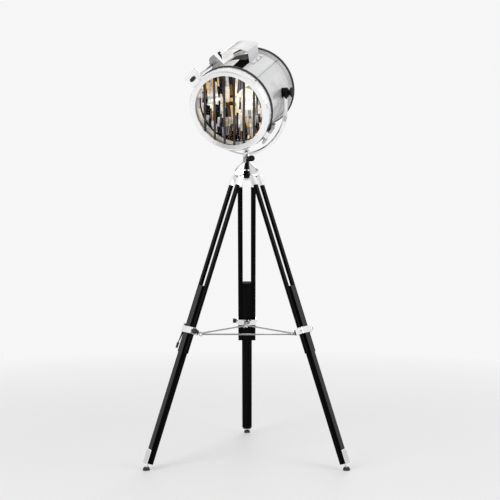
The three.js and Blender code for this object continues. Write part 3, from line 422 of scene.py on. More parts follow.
# Leg fittings
# Pressed chromed ferrules cap the slats, a chromed bolt pins them to the crown, and a
# chromed band with a riveted end squeezes them on the pole. The chrome is bright and
# slightly rippled over the steel, with a few dull places where hands have been.
chrome_bright = (0.93, 0.932, 0.94, 1)
chrome_dull = (0.8, 0.802, 0.81, 1)
ripple_size = 34.0
smudge_size = 12.0
speck_size = 900.0
smudge_limits = (0.42, 0.72)
speck_limits = (0.62, 0.78)
speck_strength = 0.5
chrome_smooth = 0.05
chrome_hazy = 0.17
ripple_depth = 0.0003
# Painted reflection: plated finishes darken towards this grey where the surface turns away from the
# camera, standing in for the dark room mirrored at their edges.
painted_edge_start = 0.8
painted_edge_end = 0.97
painted_edge_shade = (0.2, 0.2, 0.205, 1)
black_steel = (0.03, 0.027, 0.025, 1)

polish_group, polish_in, polish_out = start_group(
    "polished plating",
    (
        ("Vector", "NodeSocketVector", None),
        ("Ripple Size", "NodeSocketFloat", ripple_size),
        ("Smudge Size", "NodeSocketFloat", smudge_size),
    ),
    (("Haze", "NodeSocketFloat"), ("Ripple", "NodeSocketFloat")),
)
polish_place = polish_in.outputs["Vector"]
polish_smudge = cloud(polish_group, polish_place, polish_in.outputs["Smudge Size"], 4.0, 0.62, 0.5)
polish_speck = cloud(polish_group, polish_place, speck_size, 2.0, 0.5)
polish_ripple = cloud(polish_group, polish_place, polish_in.outputs["Ripple Size"], 1.0, 0.4)
smudge_share = spread(polish_group, polish_smudge, *smudge_limits, 0.0, 1.0)
speck_share = spread(polish_group, polish_speck, *speck_limits, 0.0, speck_strength)
polish_haze = calculate(polish_group, "MAXIMUM", smudge_share, speck_share)
feed(polish_group, polish_out.inputs["Haze"], polish_haze)
feed(polish_group, polish_out.inputs["Ripple"], polish_ripple)


def plated(name, bright, dull, smooth, hazy, place, ripple=ripple_depth, metallic=1.0):
    finish, tree, shader = start_finish(name, smooth, metallic)
    vector = coordinates_in(tree, place)
    marks = use_group(tree, polish_group, Vector=vector)
    # Painted dark edge reflection on every plated finish, in base colour and edge tint.
    turned_away = put_node(tree, "ShaderNodeLayerWeight").outputs["Facing"]
    painted_edge_share = spread(tree, turned_away, painted_edge_start, painted_edge_end, 0.0, 1.0)
    plain = blend_colours(tree, marks["Haze"], bright, dull)
    feed(tree, shader.inputs["Base Color"], blend_colours(tree, painted_edge_share, plain, painted_edge_shade))
    feed(tree, shader.inputs["Specular Tint"], blend_colours(tree, painted_edge_share, (1, 1, 1, 1), painted_edge_shade))
    feed(tree, shader.inputs["Roughness"], spread(tree, marks["Haze"], 0.0, 1.0, smooth, hazy))
    relief(tree, marks["Ripple"], ripple, shader)
    return finish, tree, shader, vector


leg_chrome = plated(
    "leg_chrome", chrome_bright, chrome_dull, chrome_smooth, chrome_hazy, lamp_frame
)[0]
for leg in leg_turns:
    for part in ("ferrule_a", "ferrule_b", "leg_bolt", "clamp_band"):
        dress(f"{leg}_{part}", leg_chrome)


# Clamp knobs and lever
# The band is closed by a screw with a chromed flange and a moulded black grip. The front
# left leg also has a flat chromed lever that hangs beside the band and ends in a black
# moulded sleeve.
flange_end = 0.0436
knob_black = (0.005, 0.005, 0.0052, 1)
knob_worn = (0.014, 0.0136, 0.0134, 1)
knob_smooth = 0.42
knob_dull = 0.56
wear_size = 60.0
wear_limits = (0.4, 0.7)
skin_size = 1100.0
skin_depth = 0.00004
sleeve_top = -0.673
edge_softness = 0.0002
chrome_tone = (0.9, 0.9, 0.91, 1)

moulded_group, moulded_in, moulded_out = start_group(
    "moulded black",
    (("Vector", "NodeSocketVector", None),),
    (("Wear", "NodeSocketFloat"), ("Skin", "NodeSocketFloat")),
)
moulded_wear = cloud(moulded_group, moulded_in.outputs["Vector"], wear_size, 4.0, 0.65, 0.3)
moulded_skin = cloud(moulded_group, moulded_in.outputs["Vector"], skin_size, 2.0, 0.5)
moulded_worn = spread(moulded_group, moulded_wear, *wear_limits, 0.0, 1.0)
feed(moulded_group, moulded_out.inputs["Wear"], moulded_worn)
feed(moulded_group, moulded_out.inputs["Skin"], moulded_skin)


def blend_numbers(tree, share, first, second):
    node = put_node(tree, "ShaderNodeMix", data_type="FLOAT")
    feed(tree, node.inputs["Factor"], share)
    feed(tree, node.inputs["A"], first)
    feed(tree, node.inputs["B"], second)
    return node.outputs["Result"]


def two_finishes(name, place, axis, edge, black_is_above):
    finish, tree, shader = start_finish(name, knob_smooth, 1.0)
    vector = coordinates_in(tree, place)
    parts = split(tree, vector)
    along = parts[axis]
    to_low, to_high = (0.0, 1.0) if black_is_above else (1.0, 0.0)
    black = spread(tree, along, edge - edge_softness, edge + edge_softness, to_low, to_high)
    plating = use_group(tree, polish_group, Vector=vector)
    moulding = use_group(tree, moulded_group, Vector=vector)
    black_tone = blend_colours(tree, moulding["Wear"], knob_black, knob_worn)
    feed(tree, shader.inputs["Base Color"], blend_colours(tree, black, chrome_tone, black_tone))
    feed(tree, shader.inputs["Metallic"], calculate(tree, "SUBTRACT", 1.0, black))
    bright_sheen = spread(tree, plating["Haze"], 0.0, 1.0, chrome_smooth, chrome_hazy)
    black_sheen = spread(tree, moulding["Wear"], 0.0, 1.0, knob_smooth, knob_dull)
    feed(tree, shader.inputs["Roughness"], blend_numbers(tree, black, bright_sheen, black_sheen))
    relief(tree, moulding["Skin"], skin_depth, shader)
    return finish


for leg in leg_turns:
    grip_finish = two_finishes(f"{leg}_knob_finish", leg_frame(leg), "Y", flange_end, True)
    dress(f"{leg}_clamp_knob", grip_finish)
dress("clamp_lever", two_finishes("lever_finish", leg_frame("left"), "Z", sleeve_top, False))


# Spreader
# Three thin steel rods tie the legs together at knee height. Each ends in rings that drop
# over pegs on a turned boss, screwed to the band through a chromed collar. The boss is
# knurled and blackened.
eye_radius = 0.1995
eye_height = 0.489
knurl_start = 0.0164
knurl_end = 0.0304
knurl_skin = 0.0098
knurl_count = 26.0
knurl_depth = 0.0006
rod_bright = (0.52, 0.505, 0.49, 1)
rod_dull = (0.34, 0.33, 0.32, 1)
rod_smooth = 0.14
rod_hazy = 0.3


def boss_frame(leg):
    level = lamp_frame @ Matrix.Rotation(leg_turns[leg], 4, "Z")
    eye = Matrix.Translation((eye_radius, 0, eye_height))
    return level @ eye @ Matrix.Rotation(-leg_splay, 4, "Y")


def knurled_boss(leg):
    finish, tree, shader, vector = plated(
        f"{leg}_boss_finish", chrome_bright, chrome_dull, chrome_smooth, chrome_hazy, boss_frame(leg)
    )
    parts = split(tree, vector)
    past_start = spread(
        tree, parts["X"], knurl_start - edge_softness, knurl_start + edge_softness, 0.0, 1.0
    )
    past_end = spread(
        tree, parts["X"], knurl_end - edge_softness, knurl_end + edge_softness, 1.0, 0.0
    )
    inside = calculate(tree, "MULTIPLY", past_start, past_end)
    turn = calculate(tree, "ARCTAN2", parts["Z"], parts["Y"])
    slope = calculate(tree, "MULTIPLY", parts["X"], 1 / knurl_skin)
    first_cut = calculate(
        tree, "SINE", calculate(tree, "MULTIPLY", calculate(tree, "ADD", turn, slope), knurl_count)
    )
    second_cut = calculate(
        tree,
        "SINE",
        calculate(tree, "MULTIPLY", calculate(tree, "SUBTRACT", turn, slope), knurl_count),
    )
    diamonds = calculate(tree, "MULTIPLY", first_cut, second_cut)
    colour_link = shader.inputs["Base Color"].links[0].from_socket
    feed(tree, shader.inputs["Base Color"], blend_colours(tree, inside, colour_link, black_steel))
    relief(tree, calculate(tree, "MULTIPLY", inside, diamonds), knurl_depth, shader)
    return finish


rod_steel = plated("rod_steel", rod_bright, rod_dull, rod_smooth, rod_hazy, lamp_frame)[0]
for leg in leg_turns:
    dress(f"{leg}_spreader_bracket", knurled_boss(leg))
    dress(f"{leg}_spreader_rod", rod_steel)


# Feet
# A chromed cup closes the end of each pole, and a turned rubber foot is pushed on the stud
# beneath it.
rubber_dark = (0.012, 0.012, 0.012, 1)
rubber_dusty = (0.045, 0.043, 0.04, 1)
dust_height = 0.012
dust_share = 0.7
rubber_rough = 0.75
rubber_clean = 0.55
rubber_dull = 0.9
rubber_depth = 0.0001

foot_rubber, foot_tree, foot_shader = start_finish("foot_rubber", rubber_rough, 0.0)
foot_place = coordinates_in(foot_tree, lamp_frame)
foot_marks = use_group(foot_tree, moulded_group, Vector=foot_place)
foot_parts = split(foot_tree, foot_place)
foot_low = spread(foot_tree, foot_parts["Z"], 0.0, dust_height, dust_share, 0.0)
foot_dust = calculate(foot_tree, "MULTIPLY", foot_low, foot_marks["Wear"])
feed(
    foot_tree,
    foot_shader.inputs["Base Color"],
    blend_colours(foot_tree, foot_dust, rubber_dark, rubber_dusty),
)
foot_sheen = spread(foot_tree, foot_dust, 0.0, 1.0, rubber_clean, rubber_dull)
feed(foot_tree, foot_shader.inputs["Roughness"], foot_sheen)
relief(foot_tree, foot_marks["Skin"], rubber_depth, foot_shader)
for leg in leg_turns:
    dress(f"{leg}_foot_shoe", leg_chrome)
    dress(f"{leg}_foot_pad", foot_rubber)


# Crown
# The hub that the legs hang from is one polished casting with three curled arms, and a
# turned drop is pressed into it from below.
cast_smooth = 0.07
cast_hazy = 0.2
hub_side_low = 1.114
hub_side_high = 1.148
hub_wide = 0.0196
hub_slim = 0.0148
hub_edge = 0.0005
# Painted reflection: the hub's core is painted near black for the dark it mirrors, with a painted
# highlight band across it.
hub_painted_dark = (0.012, 0.011, 0.011, 1)
hub_painted_highlight = (0.5, 0.49, 0.48, 1)
gleam_middle = 1.1155
gleam_reach = 0.004
arm_curve = ((0.007, 1.163), (0.015, 1.136), (0.04, 1.136), (0.05, 1.112))
arm_step_count = 7
arm_widest = 0.08
# Painted shade: a grey line along the outer edge of each arm.
arm_shade_width = 0.0024
arm_painted_edge_shade = (0.3, 0.3, 0.31, 1)


def reach_of(tree, first, second):
    across = put_node(tree, "ShaderNodeCombineXYZ")
    feed(tree, across.inputs["X"], first)
    feed(tree, across.inputs["Y"], second)
    length = put_node(tree, "ShaderNodeVectorMath", operation="LENGTH")
    feed(tree, length.inputs[0], across.outputs[0])
    return length.outputs["Value"]


crown_chrome, crown_tree, crown_shader, crown_place = plated(
    "crown_chrome", chrome_bright, chrome_dull, cast_smooth, cast_hazy, lamp_frame
)
crown_parts = split(crown_tree, crown_place)
crown_up = crown_parts["Z"]
crown_radius = reach_of(crown_tree, crown_parts["X"], crown_parts["Y"])
hub_skin = spread(crown_tree, crown_up, hub_side_low, hub_side_high, hub_wide, hub_slim)
beyond_hub = calculate(crown_tree, "SUBTRACT", crown_radius, hub_skin)
# Painted dark reflection on the hub's core.
on_painted_hub = calculate(
    crown_tree,
    "MULTIPLY",
    spread(crown_tree, beyond_hub, 0.0, hub_edge, 1.0, 0.0),
    spread(crown_tree, crown_up, hub_side_high - gleam_reach, hub_side_high, 1.0, 0.0),
)
# Painted highlight: a lighter band across the dark hub at gleam_middle.
gleam_away = calculate(
    crown_tree, "ABSOLUTE", calculate(crown_tree, "SUBTRACT", crown_up, gleam_middle)
)
hub_painted_tone = blend_colours(
    crown_tree, spread(crown_tree, gleam_away, 0.0, gleam_reach, 1.0, 0.0), hub_painted_dark, hub_painted_highlight
)


def along_curve(points, share):
    rest = 1 - share
    weights = (rest ** 3, 3 * rest ** 2 * share, 3 * rest * share ** 2, share ** 3)
    radius = sum(weight * point[0] for weight, point in zip(weights, points))
    height = sum(weight * point[1] for weight, point in zip(weights, points))
    return radius, height


arm_steps = [along_curve(arm_curve, step / arm_step_count) for step in range(arm_step_count + 1)]
arm_low = arm_curve[-1][1]
arm_span = arm_curve[0][1] - arm_low
arm_tones = []
for radius, height in reversed(arm_steps):
    share = radius / arm_widest
    arm_tones.append(((height - arm_low) / arm_span, (share, share, share, 1)))
arm_skin = calculate(
    crown_tree,
    "MULTIPLY",
    tone_ramp(
        crown_tree,
        spread(crown_tree, crown_up, arm_low, arm_low + arm_span, 0.0, 1.0),
        arm_tones,
    ),
    arm_widest,
)
# Painted shade line along the arms' outer edges.
within_arm = calculate(crown_tree, "SUBTRACT", arm_skin, crown_radius)
on_painted_arm_shade = calculate(
    crown_tree,
    "MULTIPLY",
    spread(crown_tree, within_arm, arm_shade_width, arm_shade_width + hub_edge, 1.0, 0.0),
    spread(crown_tree, crown_up, arm_low - hub_edge, arm_low, 0.0, 1.0),
)
crown_clear = crown_shader.inputs["Base Color"].links[0].from_socket
crown_plain = blend_colours(crown_tree, on_painted_arm_shade, crown_clear, arm_painted_edge_shade)
feed(
    crown_tree,
    crown_shader.inputs["Base Color"],
    blend_colours(crown_tree, on_painted_hub, crown_plain, hub_painted_tone),
)
dress("crown", crown_chrome)
dress("crown_finial", crown_chrome)


# Yoke
# A flat chromed strip is bent into a deep fork and clamped to the stem, which turns in
# the neck of the crown. A small moulded knob in the neck locks it, and black caps cover
# the tilt pivots.
head_turn = math.radians(-22)
head_tip = math.radians(90 + 25.6)
pivot_height = 1.408
pivot_cap_start = 0.15
pivot_cap_radius = 0.0245
mould_shine = 0.08
plain_shine = 0.5

head_frame = (
    lamp_frame
    @ Matrix.Translation((0, 0, pivot_height))
    @ Matrix.Rotation(head_turn, 4, "Z")
    @ Matrix.Rotation(head_tip, 4, "X")
)
yoke_chrome = plated(
    "yoke_chrome", chrome_bright, chrome_dull, chrome_smooth, chrome_hazy, lamp_frame
)[0]
black_mould, mould_tree, mould_shader = start_finish("black_mould", knob_smooth, 0.0)
mould_marks = use_group(mould_tree, moulded_group, Vector=coordinates_in(mould_tree, lamp_frame))
feed(
    mould_tree,
    mould_shader.inputs["Base Color"],
    blend_colours(mould_tree, mould_marks["Wear"], knob_black, knob_worn),
)
feed(
    mould_tree,
    mould_shader.inputs["Roughness"],
    spread(mould_tree, mould_marks["Wear"], 0.0, 1.0, knob_smooth, knob_dull),
)
mould_shader.inputs["Specular IOR Level"].default_value = mould_shine
relief(mould_tree, mould_marks["Skin"], skin_depth, mould_shader)
dress("swivel_stem", yoke_chrome)
for part in ("swivel_knob", "tilt_knob_left", "tilt_knob_right", "trunnion_left", "trunnion_right"):
    dress(part, black_mould)

yoke_finish, yoke_tree, yoke_shader, yoke_place = plated(
    "yoke_finish", chrome_bright, chrome_dull, chrome_smooth, chrome_hazy, head_frame
)
yoke_parts = split(yoke_tree, yoke_place)
yoke_radius = reach_of(yoke_tree, yoke_parts["Y"], yoke_parts["Z"])
yoke_reach = calculate(yoke_tree, "ABSOLUTE", yoke_parts["X"])
on_cap = calculate(
    yoke_tree,
    "MULTIPLY",
    spread(
        yoke_tree,
        yoke_radius,
        pivot_cap_radius,
        pivot_cap_radius + edge_softness,
        1.0,
        0.0,
    ),
    spread(yoke_tree, yoke_reach, pivot_cap_start, pivot_cap_start + edge_softness, 0.0, 1.0),
)
yoke_plain = yoke_shader.inputs["Base Color"].links[0].from_socket
feed(
    yoke_tree,
    yoke_shader.inputs["Base Color"],
    blend_colours(yoke_tree, on_cap, yoke_plain, knob_black),
)
feed(yoke_tree, yoke_shader.inputs["Metallic"], calculate(yoke_tree, "SUBTRACT", 1.0, on_cap))
feed(
    yoke_tree,
    yoke_shader.inputs["Specular IOR Level"],
    spread(yoke_tree, on_cap, 0.0, 1.0, plain_shine, mould_shine),
)
dress("yoke", yoke_finish)


# Drum
# The body of the head is a rolled sheet drum with a folded seam along its upper right
# side, chromed and buffed round its axis, so that it shines a little softer than the
# castings. A field of it under the mouth of the hood carries a painted reflection of the
# hood's dark mouth in flat black.
drum_radius = 0.150
drum_bright = (0.8, 0.802, 0.81, 1)
drum_dull = (0.68, 0.682, 0.69, 1)
drum_smooth = 0.17
drum_hazy = 0.3
drum_metallic = 0.4
buff_spacing = 800.0
buff_depth = 0.000012
seam_turn = math.radians(43)
seam_half_width = 0.0016
seam_height = 0.0007
seam_rear = -0.0995
seam_front = 0.1535
seam_steps = 6
seam_tone = (0.42, 0.42, 0.43, 1)

buffed_group, buffed_in, buffed_out = start_group(
    "buffed round",
    (("Vector", "NodeSocketVector", None), ("Lines", "NodeSocketFloat", buff_spacing)),
    (("Height", "NodeSocketFloat"),),
)
buffed_parts = split(buffed_group, buffed_in.outputs["Vector"])
buffed_radius = reach_of(buffed_group, buffed_parts["X"], buffed_parts["Y"])
buffed_place = put_node(buffed_group, "ShaderNodeCombineXYZ")
feed(buffed_group, buffed_place.inputs["X"], buffed_radius)
feed(buffed_group, buffed_place.inputs["Y"], buffed_parts["Z"])
buffed_lines = cloud(buffed_group, buffed_place.outputs[0], buffed_in.outputs["Lines"], 2.0, 0.6)
feed(buffed_group, buffed_out.inputs["Height"], buffed_lines)


def buffed(name, bright, dull, smooth, hazy, place, metallic=1.0, depth=buff_depth):
    finish, tree, shader, vector = plated(
        name, bright, dull, smooth, hazy, place, metallic=metallic
    )
    lines = use_group(tree, buffed_group, Vector=vector)
    relief(tree, lines["Height"], depth, shader)
    return finish


drum_chrome = buffed(
    "drum_chrome", drum_bright, drum_dull, drum_smooth, drum_hazy, head_frame, drum_metallic
)
dress("rear_cover", drum_chrome)

# Painted reflection: a flat black field on the drum's skin under the hood's mouth stands in for the dark
# mouth mirrored there.
painted_reflection_black = (0.006, 0.0055, 0.0055, 1)
field_left = 0.006
field_right = 0.055
field_lean = 0.085
field_rear = -0.05
field_front = 0.1525
field_edge = 0.0008

shell_finish = drum_chrome.copy()
shell_finish.name = "shell_chrome"
shell_tree = shell_finish.node_tree
shell_shader = shell_tree.nodes["Principled BSDF"]
shell_parts = split(shell_tree, coordinates_in(shell_tree, head_frame))
shell_x = shell_parts["X"]
shell_z = shell_parts["Z"]
field_start = calculate(
    shell_tree,
    "ADD",
    calculate(shell_tree, "MULTIPLY", calculate(shell_tree, "MAXIMUM", shell_z, 0.0), field_lean),
    field_left,
)
past_left = spread(
    shell_tree, calculate(shell_tree, "SUBTRACT", shell_x, field_start), 0.0, field_edge, 0.0, 1.0
)
past_right = spread(shell_tree, shell_x, field_right, field_right + field_edge, 1.0, 0.0)
past_rear = spread(shell_tree, shell_z, field_rear, field_rear + field_edge, 0.0, 1.0)
past_front = spread(shell_tree, shell_z, field_front, field_front + field_edge, 1.0, 0.0)
on_top = spread(shell_tree, shell_parts["Y"], 0.0, field_edge, 0.0, 1.0)
on_painted_reflection = on_top
for side in (past_left, past_right, past_rear, past_front):
    on_painted_reflection = calculate(shell_tree, "MULTIPLY", on_painted_reflection, side)
# The field loses its metal and shine, so only the painted reflection's black shows.
shell_bare = calculate(shell_tree, "SUBTRACT", 1.0, on_painted_reflection)
feed(
    shell_tree,
    shell_shader.inputs["Metallic"],
    calculate(shell_tree, "MULTIPLY", shell_bare, drum_metallic),
)
feed(
    shell_tree,
    shell_shader.inputs["Specular IOR Level"],
    calculate(shell_tree, "MULTIPLY", shell_bare, plain_shine),
)
shell_plain = shell_shader.inputs["Base Color"].links[0].from_socket
feed(
    shell_tree,
    shell_shader.inputs["Base Color"],
    blend_colours(shell_tree, on_painted_reflection, shell_plain, painted_reflection_black),
)
dress("drum_shell", shell_finish)


def link_piece(name, form, finish, body, smooth=True):
    bmesh.ops.recalc_face_normals(form, faces=form.faces)
    mesh = bpy.data.meshes.new(name)
    form.to_mesh(mesh)
    form.free()
    if smooth:
        mesh.shade_smooth()
        mesh.set_sharp_from_angle(angle=shade_angle)
    mesh.materials.append(finish)
    piece = bpy.data.objects.new(name, mesh)
    bpy.context.scene.collection.objects.link(piece)
    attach(piece, body)
    return piece


def on_drum(turn, radius, along):
    return head_frame @ Vector((radius * math.cos(turn), radius * math.sin(turn), along))


seam_form = bmesh.new()
seam_rows = []
for seam_along in (seam_rear, seam_front):
    seam_row = []
    for step in range(seam_steps + 1):
        share = step / seam_steps
        turn = seam_turn + (share * 2 - 1) * seam_half_width / drum_radius
        rise = seam_height * math.sin(math.pi * share)
        seam_row.append(seam_form.verts.new(on_drum(turn, drum_radius + rise, seam_along)))
    seam_rows.append(seam_row)
for step in range(seam_steps):
    seam_form.faces.new(
        (
            seam_rows[0][step],
            seam_rows[0][step + 1],
            seam_rows[1][step + 1],
            seam_rows[1][step],
        )
    )
seam_form.faces.new(seam_rows[0])
seam_form.faces.new(seam_rows[1])
seam_form.faces.new(
    (seam_rows[0][0], seam_rows[0][-1], seam_rows[1][-1], seam_rows[1][0])
)
seam_finish = plated("seam_finish", seam_tone, rod_dull, drum_smooth, drum_hazy, head_frame)[0]
link_piece("drum_seam", seam_form, seam_finish, "head")


# Hood screws
# Three small dome screws beside the right foot of the hood hold it to the drum, and one
# more in the side of the bezel holds the glass.
hood_foot_radius = 0.1523
screw_turn = math.radians(63.5)
screw_places = (-0.0403, 0.0045, 0.0534)
screw_radius = 0.0036
screw_height = 0.0018
screw_sides = 20
bezel_screw_turn = math.radians(40.8)
bezel_screw_along = 0.1795
bezel_side_radius = 0.158
screw_bright = (0.5, 0.5, 0.51, 1)
screw_smooth = 0.16
screw_hazy = 0.3
dome_shape = (
    (0.0, 0.0),
    (1.0, 0.0),
    (1.0, 0.25),
    (0.86, 0.66),
    (0.55, 0.92),
    (0.18, 1.0),
    (0.12, 0.6),
    (0.0, 0.6),
)


def turned(form, outline, place, sides):
    rings = []
    for radius, height in outline:
        if radius == 0:
            rings.append([form.verts.new(place @ Vector((0, 0, height)))])
            continue
        ring = []
        for step in range(sides):
            turn = math.tau * step / sides
            point = Vector((radius * math.cos(turn), radius * math.sin(turn), height))
            ring.append(form.verts.new(place @ point))
        rings.append(ring)
    for lower, upper in zip(rings, rings[1:]):
        for step in range(sides):
            corners = [
                lower[step % len(lower)],
                lower[(step + 1) % len(lower)],
                upper[(step + 1) % len(upper)],
                upper[step % len(upper)],
            ]
            form.faces.new(list(dict.fromkeys(corners)))


def standing_on_drum(turn, radius, along):
    spin = Matrix.Rotation(turn, 4, "Z")
    lift = Matrix.Translation((radius, 0, along))
    return head_frame @ spin @ lift @ Matrix.Rotation(math.pi / 2, 4, "Y")


def dome_outline(radius, height):
    return [(radius * across, height * up) for across, up in dome_shape]


screw_finish = plated(
    "screw_finish", screw_bright, rod_dull, screw_smooth, screw_hazy, head_frame
)[0]
for number, along in enumerate(screw_places, 1):
    screw_form = bmesh.new()
    screw_place = standing_on_drum(screw_turn, hood_foot_radius, along)
    turned(screw_form, dome_outline(screw_radius, screw_height), screw_place, screw_sides)
    link_piece(f"hood_screw_{number}", screw_form, screw_finish, "head")
screw_form = bmesh.new()
screw_place = standing_on_drum(bezel_screw_turn, bezel_side_radius, bezel_screw_along)
turned(screw_form, dome_outline(screw_radius, screw_height), screw_place, screw_sides)
link_piece("bezel_screw", screw_form, screw_finish, "door")


# Gaskets
# Flat rings of black rubber seal the bezel and the rear cover against the drum.
gasket_rough = 0.6
gasket_sheen = (0.45, 0.7)

gasket_rubber, gasket_tree, gasket_shader = start_finish("gasket_rubber", gasket_rough, 0.0)
gasket_marks = use_group(gasket_tree, moulded_group, Vector=coordinates_in(gasket_tree, head_frame))
feed(
    gasket_tree,
    gasket_shader.inputs["Base Color"],
    blend_colours(gasket_tree, gasket_marks["Wear"], rubber_dark, knob_worn),
)
feed(
    gasket_tree,
    gasket_shader.inputs["Roughness"],
    spread(gasket_tree, gasket_marks["Wear"], 0.0, 1.0, *gasket_sheen),
)
relief(gasket_tree, gasket_marks["Skin"], rubber_depth, gasket_shader)
dress("front_gasket", gasket_rubber)
dress("rear_gasket", gasket_rubber)


# Hood
# A folded sheet hood over the vent slot lets the heat out forwards and backwards. It is
# polished outside. Inside, its right wall is painted black as painted shade, and its left
# one is painted near white with a faint glow as painted light.
# Painted shade: the inside of the right wall is painted black with no shine.
hood_painted_shade = (0.008, 0.0075, 0.0075, 1)
hood_wall_inside = 0.0532
hood_wall_start = 0.047
hood_edge = 0.0002
hood_smooth = 0.36
hood_hazy = 0.46
hood_metallic = 0.25
hood_bright = (0.76, 0.762, 0.775, 1)
hood_dull = (0.7, 0.702, 0.715, 1)
# Painted light: the inside of the left wall is painted near white and glows faintly.
hood_painted_light = (0.98, 0.97, 0.94, 1)
hood_roof_inside = 0.194
hood_wall_top = 0.181
hood_painted_glow = 0.42

hood_chrome, hood_tree, hood_shader, hood_place = plated(
    "hood_chrome", hood_bright, hood_dull, hood_smooth, hood_hazy, head_frame, metallic=hood_metallic
)
hood_parts = split(hood_tree, hood_place)
hood_side = hood_parts["X"]
on_wall_width = calculate(
    hood_tree,
    "MULTIPLY",
    spread(hood_tree, hood_side, hood_wall_start, hood_wall_start + hood_edge, 0.0, 1.0),
    spread(hood_tree, hood_side, hood_wall_inside, hood_wall_inside + hood_edge, 1.0, 0.0),
)
# Painted shade mask: the inner face of the right wall below its top.
on_shaded_inner_wall = calculate(
    hood_tree,
    "MULTIPLY",
    on_wall_width,
    spread(
        hood_tree, hood_parts["Y"], hood_wall_top, hood_wall_top + hood_edge, 1.0, 0.0
    ),
)
hood_outside = hood_shader.inputs["Base Color"].links[0].from_socket
painted_light_reach = calculate(
    hood_tree,
    "MULTIPLY",
    spread(hood_tree, hood_side, -hood_wall_inside, -hood_wall_inside + hood_edge, 0.0, 1.0),
    spread(
        hood_tree,
        hood_parts["Y"],
        hood_roof_inside,
        hood_roof_inside + hood_edge,
        1.0,
        0.0,
    ),
)
# Painted light mask: the inner face of the left wall, which also glows.
on_left_half = spread(hood_tree, hood_side, -hood_edge, hood_edge, 1.0, 0.0)
on_painted_light_wall = calculate(hood_tree, "MULTIPLY", painted_light_reach, on_left_half)
hood_plain = blend_colours(hood_tree, on_painted_light_wall, hood_outside, hood_painted_light)
feed(
    hood_tree,
    hood_shader.inputs["Emission Color"],
    blend_colours(hood_tree, on_painted_light_wall, (0, 0, 0, 1), hood_painted_light),
)
hood_shader.inputs["Emission Strength"].default_value = hood_painted_glow
feed(
    hood_tree,
    hood_shader.inputs["Specular IOR Level"],
    spread(hood_tree, on_shaded_inner_wall, 0.0, 1.0, plain_shine, 0.0),
)
feed(
    hood_tree,
    hood_shader.inputs["Base Color"],
    blend_colours(hood_tree, on_shaded_inner_wall, hood_plain, hood_painted_shade),
)
dress("vent_hood", hood_chrome)


# Reflector and bulb
# A spun and polished bowl stands in the drum with a glass bulb in a white ceramic holder
# at its middle. The bowl is rippled from the spinning, and its colour carries a painted
# reflection in upright blocks of gold, white, grey and black, which also glows, with a
# painted glare, a painted band of light and a painted shade along its lower left rim.
# The bulb's glow carries the same painted streaks.
# Painted reflection: the bowl's colour, edge tint and glow are painted as streaks in these warm and cool
# tones.
warm_tones = (
    (0.0, (0.002, 0.0015, 0.0015, 1)),
    (0.3, (0.006, 0.004, 0.003, 1)),
    (0.36, (0.09, 0.04, 0.013, 1)),
    (0.44, (0.5, 0.26, 0.075, 1)),
    (0.54, (0.95, 0.66, 0.32, 1)),
    (0.7, (1.0, 0.92, 0.74, 1)),
    (1.0, (1.0, 0.985, 0.95, 1)),
)
cool_tones = (
    (0.0, (0.002, 0.0015, 0.0015, 1)),
    (0.34, (0.01, 0.009, 0.01, 1)),
    (0.46, (0.14, 0.13, 0.15, 1)),
    (0.62, (0.42, 0.42, 0.46, 1)),
    (0.78, (0.8, 0.8, 0.83, 1)),
    (1.0, (1.0, 1.0, 1.0, 1)),
)
bar_lean = math.radians(-10)
streak_stretch = (1.0, 0.01, 0.24)
bar_width = 0.0094
bar_waver = 0.8
waver_size = 30.0
block_height = 0.038
block_shift = 9.0
fringe_share = 0.2
fringe_loss = -0.24
block_gain = 0.86
block_lift = 0.15
streak_size = 150.0
streak_depth = 0.0001
warm_share = 0.42
# Painted highlight: a bright glare patch and a band of light, painted into the bowl's reflection.
glare_middle = (0.017, -0.055)
glare_reach = (0.052, 0.062)
glare_gain = 0.42
band_height = -0.012
band_reach = 0.014
band_gain = 0.34
band_right = -0.03
# Painted shade along the lower left rim of the bowl, dark inside and lighter at the very edge.
rim_inner = 0.136
rim_middle = 0.1388
rim_fade = 0.0008
rim_side = 0.07
rim_up = 0.03
rim_painted_shade = 0.22
rim_painted_light = 0.72
painted_reflection_glow = 0.3
mirror_smooth = 0.06
mirror_metallic = 0.6
mirror_shine = 0.1
glare_full = 0.02
band_full = 0.005
rim_blur = 0.03
tone_blur = 0.02
bulb_glow = (1.0, 0.9, 0.7, 1)
bulb_strength = 0.85
bulb_gain = 0.18
bulb_smooth = 0.15
bulb_clear = (0.95, 0.9, 0.8, 1)
bulb_frosted = (0.85, 0.78, 0.66, 1)
frost_size = 300.0
frost_share = 0.2
holder_white = (0.82, 0.8, 0.76, 1)
holder_grey = (0.6, 0.58, 0.54, 1)
holder_rough = 0.3
holder_depth = 0.00005

streak_frame = lamp_frame @ Matrix.Translation((0, 0, pivot_height))
bar_frame = head_frame @ Matrix.Rotation(bar_lean, 4, "Z")


